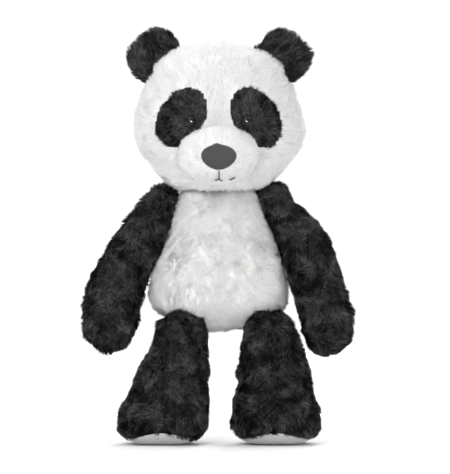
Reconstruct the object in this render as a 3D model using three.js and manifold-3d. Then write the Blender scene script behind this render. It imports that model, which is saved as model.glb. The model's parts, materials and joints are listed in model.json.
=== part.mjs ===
// A stuffed toy panda, built as it is sewn: cloth panels, stuffing, pellet bags, safety eyes and
// the wads at the neck, shoulders and hips that it bends on. Millimetres, +Z up, the face looks
// along -Y, and the origin is on the floor midway between the feet.
import * as THREE from 'three';
import { mergeVertices } from 'three/addons/utils/BufferGeometryUtils.js';
import Module from 'manifold-3d';

// ---- Cloth and clearances ------------------------------------------------------------------
const CLOTH = 1.8; // plush fabric with its knitted backing, without the pile
const SEAM_GAP = 0.35; // between two panels along a seam
const PACK_GAP = 0.4; // between the cloth and what is packed inside it
const JOINT_GAP = 0.5; // between a wad and the cloth that turns on it
const FLEX_GAP = 1.6; // room for an ear or the tail to bend on its seam

// ---- Head ----------------------------------------------------------------------------------
const HEAD = { x: 0, y: -2, z: 264, halfWidth: 72.5, halfDepth: 56, top: 76, bottom: 46 };
const HEAD_SEAM_Y = 6; // the crown seam, where the face and the back of the head meet
const MUZZLE = { y: -46, z: 246.5, halfWidth: 33.5, halfDepth: 26, halfHeight: 26.5 };
const PATCH = { x: 31, z: 277, halfLength: 26.5, halfWidth: 19.5, tilt: 0.55 };
const EYE = { x: 24, z: 273.5, radius: 4.8, height: 3.6, shankRadius: 1.6, shankLength: 15 };
const EYE_TURN = 0.27; // how far each eye looks outwards, in radians
const EYE_LIFT = 1.1; // the dome's rim stands this far off the cloth
const EYE_GRIP = 4; // stuffing between the face's cloth and a washer, which its curve needs
const WASHER = { radius: 8, thickness: 1.6 };
const NOSE = { z: 245.5, halfWidth: 14.5, height: 20, thickness: 3.2 };
const NOSE_CURVE = { foot: 0.45, flank: 0.95, brow: 0.6, widest: 0.2, round: 1.5 };
const MOUTH = { stroke: 1.6, thickness: 1, drop: 9, halfWidth: 12, rise: 3.2, sag: 4.8 };

// ---- Ears ----------------------------------------------------------------------------------
const EAR_LEAN = 0.7; // from straight up, outwards, in radians
const EAR = {
  bottom: 3.4,
  top: 20.5,
  rows: [
    { z: -9, x: 0, y: 0, a: 18, b: 3.4 }, // sunk behind the crown's cloth, and cut to fit it
    { z: 8, x: 0, y: 0, a: 23, b: 5.5 },
    { z: 16.5, x: 0, y: 0, a: 24, b: 6.5 },
  ],
};

// ---- Neck and torso ------------------------------------------------------------------------
const NECK = { x: 0, y: 0, z: 218, radius: 20 };
const TORSO = {
  bottom: 27,
  top: 11,
  rows: [
    { z: 128, x: 0, y: 4, a: 58, b: 44 },
    { z: 157, x: 0, y: 3, a: 52, b: 39 },
    { z: 185, x: 0, y: 1, a: 44, b: 32 },
    { z: 201, x: 0, y: 0, a: 34, b: 25 },
  ],
};
const TORSO_SEAM_Y = 4; // the side seams, between the belly panel and the back
const YOKE_Z = 166; // lower edge of the black yoke across the shoulders
const SEAT_BAG_Z = 126; // the seat's pellet bag lies below this

// ---- Arms ----------------------------------------------------------------------------------
const SHOULDER = { x: 43.5, y: 0, z: 190, radius: 14.5, halfThick: 1.2 };
const SHOULDER_LEAN = THREE.MathUtils.degToRad(20); // the sloping side that the arm is sewn to
const ARM = {
  bottom: 23,
  top: 10,
  rows: [
    { z: 100, x: 92.5, y: -6, a: 23.5, b: 20.5 },
    { z: 120, x: 89.5, y: -6, a: 24, b: 21.5 },
    { z: 143, x: 83.5, y: -4, a: 23, b: 21.5 },
    { z: 165, x: 76, y: -2, a: 22, b: 21 },
    { z: 185, x: 66, y: 0, a: 20, b: 20 },
    { z: 198, x: 58, y: 0, a: 17, b: 18 },
    { z: 209, x: 50, y: 0, a: 11.5, b: 13 },
  ],
};
const ARM_SEAM_Y = -3;
const PAW_BAG_Z = 108;

// ---- Legs ----------------------------------------------------------------------------------
const HIP = { x: 42, y: -13, z: 94, radius: 20, capThick: 1.2, capAngle: 0.95 };
const LEG = {
  bottom: 22,
  top: HIP.radius,
  rows: [
    { z: 14, x: 48.5, y: -20, a: 35.5, b: 37 },
    { z: 32, x: 48, y: -19, a: 36, b: 34.5 },
    { z: 52, x: 45.5, y: -17, a: 30.5, b: 28 },
    { z: 72, x: 43, y: -15, a: 24, b: 23 },
    { z: HIP.z, x: HIP.x, y: HIP.y, a: HIP.radius, b: HIP.radius },
  ],
};
const LEG_SEAM_X = 45.5; // the seam down the front and back of each leg
const FOOT_BAG_Z = 30;
const SOLE = { halfWidth: 31, halfLength: 33, thick: 3, flatTo: -23, toeRadius: 50 };
const SOLE_ARC = 1.1; // how far the toe's arc is drawn, in radians, well past the pad's end
const HIP_FORWARD_STEPS = 4; // positions of the leg that the lap leaves room for
const LAP_REACH_Z = 50; // below this the leg never meets the torso
const HIP_FORWARD = THREE.MathUtils.degToRad(80);
const HIP_SPLAY = THREE.MathUtils.degToRad(15);

// ---- Tail and label ------------------------------------------------------------------------
const TAIL_Z = 121;
const TAIL = {
  bottom: 3.4,
  top: 12.5,
  rows: [
    { z: 0, x: 0, y: 0, a: 3.4, b: 3.4 },
    { z: 6.5, x: 0, y: 0, a: 10.5, b: 9.8 },
    { z: 12.5, x: 0, y: 0, a: 13, b: 11.5 },
  ],
};
const LABEL = { x: -24, z: 106, width: 16, height: 24, thick: 0.8, gap: 0.6 };

// ---- Materials -----------------------------------------------------------------------------
const cloth = (color) => new THREE.MeshStandardMaterial({ color, roughness: 0.9, metalness: 0 });
const WHITE_PLUSH = cloth('#efeeec');
const BLACK_PLUSH = cloth('#1d1d20');
const SUEDE = cloth('#c6c5c3');
const NOSE_CLOTH = cloth('#3b393b');
const THREAD = cloth('#19191b');
const FIBREFILL = cloth('#f4f3ef');
const PELLET_BAG = cloth('#dcd8cc');
const LABEL_SATIN = cloth('#f2f2f0');
const EYE_PLASTIC = new THREE.MeshStandardMaterial({
  color: '#0a0a0b',
  roughness: 0.12,
  metalness: 0,
});
const WASHER_PLASTIC = new THREE.MeshStandardMaterial({
  color: '#e6e6e2',
  roughness: 0.5,
  metalness: 0,
});

const SIDES = { left: 1, right: -1 };
const QUARTER = Math.PI / 2;

// ---- How finely the shapes are drawn -------------------------------------------------------
const BIG = 400; // larger than the toy, for blocks that stand for half of space
const FINE = { sides: 18, domeRings: 4 };
const PLAIN = { sides: 16, domeRings: 3 };
const COARSE = { sides: 12, domeRings: 3 };
const BALL_SIDES = 20;
const BALL_RINGS = 14;
const EYE_SIDES = 14;
const EYE_STEPS = 6;
const CUP_SIDES = 16;
const CUP_STEPS = 4;
const WAD_SIDES = 24;
const SOLE_SIDES = 36;
const SOLE_STEPS = 8;
const OUTLINE_STEPS = 7;

// ---- Solids --------------------------------------------------------------------------------
const wasm = await Module();
wasm.setup();

function solid(geometry) {
  const bare = geometry.clone();
  bare.deleteAttribute('normal');
  bare.deleteAttribute('uv');
  const merged = mergeVertices(bare, 1e-4);
  const corners = merged.index.array;
  const kept = [];
  for (let i = 0; i < corners.length; i += 3) {
    const [a, b, c] = [corners[i], corners[i + 1], corners[i + 2]];
    if (a !== b && b !== c && c !== a) kept.push(a, b, c);
  }
  return new wasm.Manifold(
    new wasm.Mesh({
      numProp: 3,
      vertProperties: new Float32Array(merged.attributes.position.array),
      triVerts: new Uint32Array(kept),
    }),
  );
}

function geometryOf(manifold) {
  const mesh = manifold.getMesh();
  const geometry = new THREE.BufferGeometry();
  geometry.setAttribute('position', new THREE.BufferAttribute(mesh.vertProperties.slice(), 3));
  geometry.setIndex(new THREE.BufferAttribute(mesh.triVerts.slice(), 1));
  return geometry;
}

// A stuffed form: oval rings stacked up Z, one for each of its rows, with a rounded
// end at the bottom and the top. The inset shrinks it evenly, for a lining or for stuffing.
function stuffedForm({ rows, bottom, top }, inset = 0, { sides, domeRings } = FINE) {
  const centres = rows.map((row) => new THREE.Vector3(row.x, row.y, row.z));
  const ovals = rows.map((row) => new THREE.Vector3(row.a - inset, row.b - inset, 0));
  const rings = [];
  const dome = (centre, oval, height) => (angle) => ({
    centre: centre.clone().setZ(centre.z + height * Math.sin(angle)),
    oval: oval.clone().multiplyScalar(Math.cos(angle)),
  });
  const foot = dome(centres[0], ovals[0], bottom - inset);
  for (let i = 1; i < domeRings; i += 1) rings.push(foot((i / domeRings - 1) * QUARTER));
  centres.forEach((centre, i) => rings.push({ centre, oval: ovals[i] }));
  const crown = dome(centres.at(-1), ovals.at(-1), top - inset);
  for (let i = 1; i < domeRings; i += 1) rings.push(crown((i / domeRings) * QUARTER));
  return ringSolid(rings, sides, foot(-QUARTER).centre, crown(QUARTER).centre);
}

function ringSolid(rings, sides, lowPoint, highPoint) {
  const points = [];
  const faces = [];
  for (const { centre, oval } of rings) {
    for (let j = 0; j < sides; j += 1) {
      const turn = (j / sides) * Math.PI * 2;
      points.push(centre.x + oval.x * Math.cos(turn), centre.y + oval.y * Math.sin(turn), centre.z);
    }
  }
  const low = rings.length * sides;
  points.push(lowPoint.x, lowPoint.y, lowPoint.z, highPoint.x, highPoint.y, highPoint.z);
  for (let j = 0; j < sides; j += 1) {
    const next = (j + 1) % sides;
    const last = (rings.length - 1) * sides;
    faces.push(low, next, j, low + 1, last + j, last + next);
    for (let i = 0; i < rings.length - 1; i += 1) {
      const [a, b] = [i * sides + j, i * sides + next];
      faces.push(a, b, b + sides, a, b + sides, a + sides);
    }
  }
  const geometry = new THREE.BufferGeometry();
  geometry.setAttribute('position', new THREE.Float32BufferAttribute(points, 3));
  geometry.setIndex(faces);
  return solid(geometry);
}

function ball({ x, y, z }, radius) {
  return solid(new THREE.SphereGeometry(radius, BALL_SIDES, BALL_RINGS).translate(x, y, z));
}

function ellipsoid({ x = 0, y, z, halfWidth, halfDepth, halfHeight }, inset = 0) {
  const size = [halfWidth - inset, halfDepth - inset, halfHeight - inset];
  const sphere = new THREE.SphereGeometry(1, BALL_SIDES, BALL_RINGS);
  return solid(sphere.scale(...size).translate(x, y, z));
}

// Half of space, as a big block whose face passes through a point and faces along a normal.
function beyond(point, normal) {
  const block = new THREE.BoxGeometry(BIG * 2, BIG * 2, BIG).translate(0, 0, BIG / 2);
  const turn = new THREE.Quaternion().setFromUnitVectors(new THREE.Vector3(0, 0, 1), normal);
  block.applyQuaternion(turn).translate(point.x, point.y, point.z);
  return solid(block);
}

const axisY = (sign) => new THREE.Vector3(0, sign, 0);
const axisZ = (sign) => new THREE.Vector3(0, 0, sign);
const inFrontOf = (y) => beyond(new THREE.Vector3(0, y, 0), axisY(-1));
const behind = (y) => beyond(new THREE.Vector3(0, y, 0), axisY(1));
const above = (z) => beyond(new THREE.Vector3(0, 0, z), axisZ(1));
const below = (z) => beyond(new THREE.Vector3(0, 0, z), axisZ(-1));

// An outline drawn on the face, cut straight through towards the viewer from the middle.
function throughFace(outline) {
  const block = new THREE.ExtrudeGeometry(outline, {
    depth: BIG / 2,
    bevelEnabled: false,
    curveSegments: OUTLINE_STEPS,
  });
  return solid(block.rotateX(QUARTER));
}

const mirrored = (form, side) => ({
  ...form,
  rows: form.rows.map((row) => ({ ...row, x: row.x * side })),
});

// ---- Bodies and pieces ---------------------------------------------------------------------
const panda = new THREE.Group();

function body(parent, at) {
  const group = new THREE.Group();
  const origin = new THREE.Vector3();
  for (let node = parent; node; node = node.parent) origin.add(node.position);
  group.position.set(at.x, at.y, at.z).sub(origin);
  parent.add(group);
  return { group, at };
}

function piece({ group, at }, name, shape, material) {
  const geometry = shape instanceof THREE.BufferGeometry ? shape : geometryOf(shape);
  const mesh = new THREE.Mesh(geometry.translate(-at.x, -at.y, -at.z), material);
  mesh.name = name;
  group.add(mesh);
  return mesh;
}

// ---- Head ----------------------------------------------------------------------------------
function headForm(inset) {
  const { x, y, z, halfWidth, halfDepth, top, bottom } = HEAD;
  const row = { x, y, z, a: halfWidth, b: halfDepth };
  return stuffedForm({ rows: [row], bottom, top }, inset, PLAIN);
}

function patchOutline(side, grow) {
  const outline = new THREE.Shape();
  const { x, z, halfLength, halfWidth, tilt } = PATCH;
  const turn = QUARTER + tilt * side;
  outline.absellipse(side * x, z, halfLength + grow, halfWidth + grow, 0, Math.PI * 2, false, turn);
  return outline;
}

// The nose is a soft triangle: broad and gently peaked on top, round at its foot.
function noseOutline() {
  const { z, halfWidth, height } = NOSE;
  const { widest, round } = NOSE_CURVE;
  const [foot, brow] = [z - height / 2, z + height / 2];
  const shares = [NOSE_CURVE.foot, NOSE_CURVE.flank, NOSE_CURVE.brow];
  const [inner, flank, upper] = shares.map((share) => halfWidth * share);
  const side = z + height * widest;
  const outline = new THREE.Shape();
  outline.moveTo(0, foot);
  outline.bezierCurveTo(inner, foot, flank, z - round, halfWidth, side);
  outline.bezierCurveTo(halfWidth, brow - round, upper, brow - round, 0, brow);
  outline.bezierCurveTo(-upper, brow - round, -halfWidth, brow - round, -halfWidth, side);
  outline.bezierCurveTo(-flank, z - round, -inner, foot, 0, foot);
  return outline;
}

// One stitched stroke under the nose, and a shallow smile at its foot.
function mouthOutline() {
  const { stroke, drop, halfWidth, rise, sag } = MOUTH;
  const top = NOSE.z - NOSE.height / 2 - SEAM_GAP;
  const low = top - drop;
  const half = stroke / 2;
  const outline = new THREE.Shape();
  outline.moveTo(-half, top);
  outline.lineTo(-half, low);
  outline.quadraticCurveTo(-halfWidth / 2, low - half, -halfWidth, low + rise);
  outline.lineTo(-halfWidth - half, low + rise - half);
  outline.quadraticCurveTo(0, low - sag, halfWidth + half, low + rise - half);
  outline.lineTo(halfWidth, low + rise);
  outline.quadraticCurveTo(halfWidth / 2, low - half, half, low);
  outline.lineTo(half, top);
  return outline;
}

// The depth of the face's cloth at an eye, found on the head's own oval.
function faceDepth(x, z) {
  const across = (x - HEAD.x) / HEAD.halfWidth;
  const up = (z - HEAD.z) / (z > HEAD.z ? HEAD.top : HEAD.bottom);
  return HEAD.y - HEAD.halfDepth * Math.sqrt(1 - across ** 2 - up ** 2);
}

// A lathed part of an eye, turned to look outwards and set in its place on the face.
function eyeTurned(profile, side, sink) {
  const points = profile.map(([radius, height]) => new THREE.Vector2(radius, height));
  const shape = new THREE.LatheGeometry(points, EYE_SIDES).rotateX(Math.PI);
  shape.translate(0, sink, 0).rotateZ(EYE_TURN * side);
  return shape.translate(side * EYE.x, faceDepth(EYE.x, EYE.z), EYE.z);
}

// The eye in its own frame: the dome stands on height 0 and the shank runs down from it.
function eyeProfile(grow) {
  const { radius, height, shankRadius, shankLength } = EYE;
  const profile = [[0, -shankLength], [shankRadius + grow, -shankLength], [shankRadius + grow, 0]];
  if (grow > 0) return [...profile, [0, 0]];
  for (let i = 0; i < EYE_STEPS; i += 1) {
    const angle = (i / EYE_STEPS) * QUARTER;
    profile.push([radius * Math.cos(angle), height * Math.sin(angle)]);
  }
  return [...profile, [0, height]];
}

function washerProfile(grow) {
  const { radius, thickness } = WASHER;
  const inner = grow > 0 ? 0 : EYE.shankRadius + SEAM_GAP;
  const [low, high] = [-thickness - grow, grow];
  return [[inner, low], [radius + grow, low], [radius + grow, high], [inner, high], [inner, low]];
}

const WASHER_DEPTH = CLOTH + PACK_GAP + EYE_GRIP;

// Room in the stuffing in front of a washer, out to the cloth.
function eyeRoomProfile() {
  const radius = WASHER.radius + PACK_GAP;
  return [[0, 0], [radius, 0], [radius, WASHER_DEPTH], [0, WASHER_DEPTH]];
}

function buildHead(neck) {
  const head = body(neck.group, { x: HEAD.x, y: HEAD.y, z: HEAD.z });
  const socket = ball(NECK, NECK.radius + JOINT_GAP);
  const skin = headForm(0).subtract(headForm(CLOTH)).subtract(socket);
  const muzzleSeat = headForm(-SEAM_GAP);
  let face = skin.intersect(inFrontOf(HEAD_SEAM_Y));
  let stuffing = headForm(CLOTH + PACK_GAP).subtract(socket);
  for (const [name, side] of Object.entries(SIDES)) {
    const patchCut = throughFace(patchOutline(side, 0));
    const shankHole = solid(eyeTurned(eyeProfile(SEAM_GAP), side, -EYE_LIFT));
    const washerRoom = solid(eyeTurned(washerProfile(PACK_GAP), side, WASHER_DEPTH));
    const frontRoom = solid(eyeTurned(eyeRoomProfile(), side, WASHER_DEPTH));
    const patch = skin.intersect(patchCut).intersect(inFrontOf(HEAD_SEAM_Y));
    face = face.subtract(throughFace(patchOutline(side, SEAM_GAP)));
    stuffing = stuffing.subtract(shankHole).subtract(washerRoom).subtract(frontRoom);
    piece(head, `${name}_eye_patch`, patch.subtract(shankHole), BLACK_PLUSH);
    const eye = solid(eyeTurned(eyeProfile(0), side, -EYE_LIFT));
    piece(head, `${name}_eye`, eye, EYE_PLASTIC);
    const washer = solid(eyeTurned(washerProfile(0), side, WASHER_DEPTH));
    piece(head, `${name}_eye_washer`, washer, WASHER_PLASTIC);
  }
  piece(head, 'head_face_panel', face, WHITE_PLUSH);
  piece(head, 'head_back_panel', skin.intersect(behind(HEAD_SEAM_Y + SEAM_GAP)), WHITE_PLUSH);
  piece(head, 'head_stuffing', stuffing, FIBREFILL);
  const muzzle = ellipsoid(MUZZLE).subtract(ellipsoid(MUZZLE, CLOTH)).subtract(muzzleSeat);
  const muzzleFill = ellipsoid(MUZZLE, CLOTH + PACK_GAP).subtract(muzzleSeat);
  piece(head, 'muzzle_panel', muzzle, WHITE_PLUSH);
  piece(head, 'muzzle_stuffing', muzzleFill, FIBREFILL);
  const onMuzzle = (outline, thickness) =>
    ellipsoid(MUZZLE, -SEAM_GAP - thickness)
      .subtract(ellipsoid(MUZZLE, -SEAM_GAP))
      .intersect(throughFace(outline))
      .intersect(inFrontOf(MUZZLE.y));
  piece(head, 'nose', onMuzzle(noseOutline(), NOSE.thickness), NOSE_CLOTH);
  piece(head, 'mouth_stitching', onMuzzle(mouthOutline(), MOUTH.thickness), THREAD);
  for (const [name, side] of Object.entries(SIDES)) buildEar(head, name, side);
}

// ---- Ears ----------------------------------------------------------------------------------
// Each ear stands on the crown like a padded petal, pinched thin along its seam.
function buildEar(head, name, side) {
  const lean = EAR_LEAN * side;
  const root = new THREE.Vector3(Math.sin(lean) * HEAD.halfWidth, 0, Math.cos(lean) * HEAD.top);
  root.add(new THREE.Vector3(HEAD.x, HEAD.y, HEAD.z));
  const ear = body(head.group, root);
  const turned = (inset) => {
    const upright = geometryOf(stuffedForm(EAR, inset, PLAIN));
    return solid(upright.rotateY(lean).translate(root.x, root.y, root.z));
  };
  const crown = headForm(-FLEX_GAP);
  const skin = turned(0).subtract(turned(CLOTH)).subtract(crown);
  piece(ear, `${name}_ear_front`, skin.intersect(inFrontOf(HEAD.y)), BLACK_PLUSH);
  piece(ear, `${name}_ear_back`, skin.intersect(behind(HEAD.y + SEAM_GAP)), BLACK_PLUSH);
  piece(ear, `${name}_ear_filling`, turned(CLOTH + PACK_GAP).subtract(crown), FIBREFILL);
}

// ---- Torso ---------------------------------------------------------------------------------
const shoulderNormal = (side) =>
  new THREE.Vector3(side * Math.cos(SHOULDER_LEAN), 0, Math.sin(SHOULDER_LEAN));

function shoulderPlane(side, offset) {
  const point = new THREE.Vector3(side * SHOULDER.x, SHOULDER.y, SHOULDER.z);
  return point.addScaledVector(shoulderNormal(side), offset);
}

const WAD_REACH = SHOULDER.halfThick + JOINT_GAP;

function legForm(side, inset, detail) {
  return stuffedForm(mirrored(LEG, side), inset, detail);
}

// The room that a leg takes as it is lifted forwards into the lap and splayed.
function lapRoom(side) {
  const hip = { x: side * HIP.x, y: HIP.y, z: HIP.z };
  let room = ball(hip, HIP.radius + HIP.capThick + JOINT_GAP * 2);
  const leg = geometryOf(legForm(side, -JOINT_GAP * 2, COARSE).intersect(above(LAP_REACH_Z)));
  leg.translate(-hip.x, -hip.y, -hip.z);
  for (const splay of [0, HIP_SPLAY]) {
    for (let i = 0; i <= HIP_FORWARD_STEPS; i += 1) {
      const lifted = leg.clone().rotateY(-side * splay);
      lifted.rotateX((-i / HIP_FORWARD_STEPS) * HIP_FORWARD);
      room = room.add(solid(lifted.translate(hip.x, hip.y, hip.z)));
    }
  }
  return room;
}

function buildTorso() {
  const torso = body(panda, { x: 0, y: 0, z: TORSO.rows[0].z });
  let room = ball(NECK, NECK.radius + JOINT_GAP);
  for (const side of Object.values(SIDES)) {
    const normal = shoulderNormal(side);
    room = room.add(beyond(shoulderPlane(side, -WAD_REACH), normal)).add(lapRoom(side));
  }
  const skin = stuffedForm(TORSO).subtract(stuffedForm(TORSO, CLOTH)).subtract(room);
  const filling = stuffedForm(TORSO, CLOTH + PACK_GAP).subtract(room);
  const back = skin.intersect(behind(TORSO_SEAM_Y + SEAM_GAP));
  piece(torso, 'belly_panel', skin.intersect(inFrontOf(TORSO_SEAM_Y)), WHITE_PLUSH);
  piece(torso, 'back_yoke', back.intersect(above(YOKE_Z + SEAM_GAP)), BLACK_PLUSH);
  piece(torso, 'back_panel', back.intersect(below(YOKE_Z)), WHITE_PLUSH);
  piece(torso, 'torso_stuffing', filling.intersect(above(SEAT_BAG_Z + PACK_GAP)), FIBREFILL);
  piece(torso, 'seat_pellet_bag', filling.intersect(below(SEAT_BAG_Z)), PELLET_BAG);
  piece(torso, 'care_label', careLabel(), LABEL_SATIN);
  return torso;
}

// How far back the torso's cloth reaches, on its lower dome or its first rows.
function backDepth(z, grow) {
  const row = TORSO.rows[0];
  const drop = Math.max(0, row.z - z) / (TORSO.bottom + grow);
  return row.y + (row.b + grow) * Math.sqrt(Math.max(0, 1 - drop ** 2));
}

function careLabel() {
  const { x, z, width, height, thick, gap } = LABEL;
  const y = backDepth(z + height / 2, gap) + thick / 2;
  return solid(new THREE.BoxGeometry(width, thick, height).translate(x, y, z));
}

function buildTail(torso) {
  const root = { x: 0, y: backDepth(TAIL_Z, 0), z: TAIL_Z };
  const tail = body(torso.group, root);
  const turned = (inset) => {
    const upright = geometryOf(stuffedForm(TAIL, inset, COARSE));
    return solid(upright.rotateX(-QUARTER).translate(root.x, root.y, root.z));
  };
  const seat = stuffedForm(TORSO, -FLEX_GAP);
  piece(tail, 'tail_cover', turned(0).subtract(turned(CLOTH)).subtract(seat), WHITE_PLUSH);
  piece(tail, 'tail_stuffing', turned(CLOTH + PACK_GAP).subtract(seat), FIBREFILL);
}

// ---- Neck ----------------------------------------------------------------------------------
function buildNeck(torso) {
  const neck = body(torso.group, NECK);
  piece(neck, 'neck_wad', ball(NECK, NECK.radius), FIBREFILL);
  return neck;
}

// ---- Arms ----------------------------------------------------------------------------------
function buildArm(torso, name, side) {
  const at = { x: side * SHOULDER.x, y: SHOULDER.y, z: SHOULDER.z };
  const shoulder = body(torso.group, at);
  const { radius, halfThick } = SHOULDER;
  const disc = new THREE.CylinderGeometry(radius, radius, halfThick * 2, WAD_SIDES);
  const up = new THREE.Vector3(0, 1, 0);
  disc.applyQuaternion(new THREE.Quaternion().setFromUnitVectors(up, shoulderNormal(side)));
  piece(shoulder, `${name}_shoulder_wad`, solid(disc.translate(at.x, at.y, at.z)), FIBREFILL);

  const top = ARM.rows.at(-1);
  const arm = body(shoulder.group, { x: side * top.x, y: top.y, z: top.z });
  const form = mirrored(ARM, side);
  const sewnOn = (inset) => {
    const plane = beyond(shoulderPlane(side, WAD_REACH + inset), shoulderNormal(side));
    return stuffedForm(form, inset).intersect(plane);
  };
  const skin = sewnOn(0).subtract(sewnOn(CLOTH));
  const filling = sewnOn(CLOTH + PACK_GAP);
  piece(arm, `${name}_arm_front`, skin.intersect(inFrontOf(ARM_SEAM_Y)), BLACK_PLUSH);
  piece(arm, `${name}_arm_back`, skin.intersect(behind(ARM_SEAM_Y + SEAM_GAP)), BLACK_PLUSH);
  piece(arm, `${name}_arm_stuffing`, filling.intersect(above(PAW_BAG_Z + PACK_GAP)), FIBREFILL);
  piece(arm, `${name}_paw_pellet_bag`, filling.intersect(below(PAW_BAG_Z)), PELLET_BAG);
}

// ---- Legs ----------------------------------------------------------------------------------
// Everything under the sole's curve, raised by an offset: flat at the heel, rising to the toe.
function underSole(offset) {
  const { flatTo, toeRadius } = SOLE;
  const radius = toeRadius - offset;
  const profile = new THREE.Shape();
  profile.moveTo(BIG, offset);
  profile.lineTo(flatTo, offset);
  for (let i = 1; i <= SOLE_STEPS; i += 1) {
    const angle = (i / SOLE_STEPS) * SOLE_ARC;
    profile.lineTo(flatTo - radius * Math.sin(angle), toeRadius - radius * Math.cos(angle));
  }
  profile.lineTo(-BIG, toeRadius);
  profile.lineTo(-BIG, -BIG);
  profile.lineTo(BIG, -BIG);
  const block = new THREE.ExtrudeGeometry(profile, { depth: BIG, bevelEnabled: false });
  block.translate(0, 0, -BIG / 2);
  block.applyMatrix4(new THREE.Matrix4().set(0, 0, 1, 0, 1, 0, 0, 0, 0, 1, 0, 0, 0, 0, 0, 1));
  return solid(block);
}

function solePad(side) {
  const { x, y } = LEG.rows[0];
  const pad = new THREE.CylinderGeometry(1, 1, SOLE.toeRadius, SOLE_SIDES).rotateX(QUARTER);
  pad.scale(SOLE.halfWidth, SOLE.halfLength, 1).translate(side * x, y, 0);
  return solid(pad).intersect(underSole(SOLE.thick)).subtract(underSole(0));
}

// The hip wad is a shallow cup that fits over the round top of the leg.
function hipCup(side) {
  const { x, y, z, radius, capThick, capAngle } = HIP;
  const [near, far] = [radius + JOINT_GAP, radius + JOINT_GAP + capThick];
  const profile = [];
  for (let i = 0; i <= CUP_STEPS; i += 1) {
    const angle = (i / CUP_STEPS) * capAngle;
    profile.push(new THREE.Vector2(near * Math.sin(angle), near * Math.cos(angle)));
  }
  for (let i = CUP_STEPS; i >= 0; i -= 1) {
    const angle = (i / CUP_STEPS) * capAngle;
    profile.push(new THREE.Vector2(far * Math.sin(angle), far * Math.cos(angle)));
  }
  const cup = new THREE.LatheGeometry(profile, CUP_SIDES).rotateX(QUARTER);
  return solid(cup.translate(side * x, y, z));
}

function buildLeg(torso, name, side) {
  const at = { x: side * HIP.x, y: HIP.y, z: HIP.z };
  const hip = body(torso.group, at);
  piece(hip, `${name}_hip_wad`, hipCup(side), FIBREFILL);

  const leg = body(hip.group, at);
  const under = underSole(SOLE.thick + SEAM_GAP);
  const lining = underSole(SOLE.thick + SEAM_GAP + CLOTH);
  const skin = legForm(side, 0).subtract(under).subtract(legForm(side, CLOTH));
  const filling = legForm(side, CLOTH + PACK_GAP).subtract(lining);
  const outwards = new THREE.Vector3(side, 0, 0);
  const inwards = new THREE.Vector3(-side, 0, 0);
  const seam = new THREE.Vector3(side * LEG_SEAM_X, 0, 0);
  const outer = skin.intersect(beyond(seam.clone().addScaledVector(outwards, SEAM_GAP), outwards));
  piece(leg, `${name}_leg_outer_panel`, outer, BLACK_PLUSH);
  piece(leg, `${name}_leg_inner_panel`, skin.intersect(beyond(seam, inwards)), BLACK_PLUSH);
  piece(leg, `${name}_leg_stuffing`, filling.intersect(above(FOOT_BAG_Z + PACK_GAP)), FIBREFILL);
  piece(leg, `${name}_foot_pellet_bag`, filling.intersect(below(FOOT_BAG_Z)), PELLET_BAG);
  piece(leg, `${name}_sole`, solePad(side), SUEDE);
}

// ---- The whole toy -------------------------------------------------------------------------
const torso = buildTorso();
buildHead(buildNeck(torso));
buildTail(torso);
for (const [name, side] of Object.entries(SIDES)) {
  buildArm(torso, name, side);
  buildLeg(torso, name, side);
}

export default panda;
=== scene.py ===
# %% [markdown]
# # A stuffed panda, sewn and furred in Blender
# The frame gives the toy's bodies, joints and sizes. This lesson dresses it: each stuffed part
# gets a sewn skin, each skin gets a pile of real strands, and the eyes, nose, mouth and soles
# are made as the separate things they are. Everything is in metres, +Z up, the face towards -Y.

import json
import math

import bmesh
import bpy
import numpy as np
from mathutils import Matrix, Vector
from mathutils.bvhtree import BVHTree
from mathutils.kdtree import KDTree


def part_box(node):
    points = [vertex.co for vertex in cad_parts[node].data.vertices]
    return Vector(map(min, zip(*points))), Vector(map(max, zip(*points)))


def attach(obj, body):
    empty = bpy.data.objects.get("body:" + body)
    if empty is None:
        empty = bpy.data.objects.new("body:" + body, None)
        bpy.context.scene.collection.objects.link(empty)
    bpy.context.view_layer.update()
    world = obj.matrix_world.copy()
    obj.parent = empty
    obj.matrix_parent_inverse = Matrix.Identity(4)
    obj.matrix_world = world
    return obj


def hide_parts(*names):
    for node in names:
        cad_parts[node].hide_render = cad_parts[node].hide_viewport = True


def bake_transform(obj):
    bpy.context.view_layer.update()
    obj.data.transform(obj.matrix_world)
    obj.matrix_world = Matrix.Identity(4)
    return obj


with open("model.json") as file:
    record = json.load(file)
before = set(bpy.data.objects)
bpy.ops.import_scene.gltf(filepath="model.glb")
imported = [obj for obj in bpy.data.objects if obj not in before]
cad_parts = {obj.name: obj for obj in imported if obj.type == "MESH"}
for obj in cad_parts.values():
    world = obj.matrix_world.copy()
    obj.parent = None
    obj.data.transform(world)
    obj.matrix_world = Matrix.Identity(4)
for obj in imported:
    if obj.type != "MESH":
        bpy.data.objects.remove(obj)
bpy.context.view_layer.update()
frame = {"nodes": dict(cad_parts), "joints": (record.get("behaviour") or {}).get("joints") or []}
MM = 0.001
PIVOT = {joint["name"]: Vector(joint["pos_m"]) for joint in frame["joints"]}
SIDES = {"left": 1, "right": -1}


def placed(name, data):
    """A new object in the scene that shows a mesh, a curve, a lamp or a camera."""
    found = bpy.data.objects.new(name, data)
    bpy.context.scene.collection.objects.link(found)
    return found


# %% [markdown]
# ## Room, light and camera
# A soft toy shows best on a white sweep under large soft lamps: the white pile keeps its shadows
# and the black pile its sheen. The floor is one big plane, which is simpler than a curved sweep
# and works from every side.

# %% Floor and view
VIEW_CENTRE = Vector((5.3 * MM, -20 * MM, 176.6 * MM))
VIEW_HEIGHT = 404 * MM
VIEW_DISTANCE = 2.4
SENSOR = 36.0

floor_mesh = bpy.data.meshes.new("floor")
floor = placed("floor", floor_mesh)
FLOOR_REACH = 6  # metres from the middle, far past what any view shows
build = bmesh.new()
bmesh.ops.create_grid(build, x_segments=1, y_segments=1, size=FLOOR_REACH)
build.to_mesh(floor_mesh)
build.free()
print("floor", 2 * FLOOR_REACH, "m wide")


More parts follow.
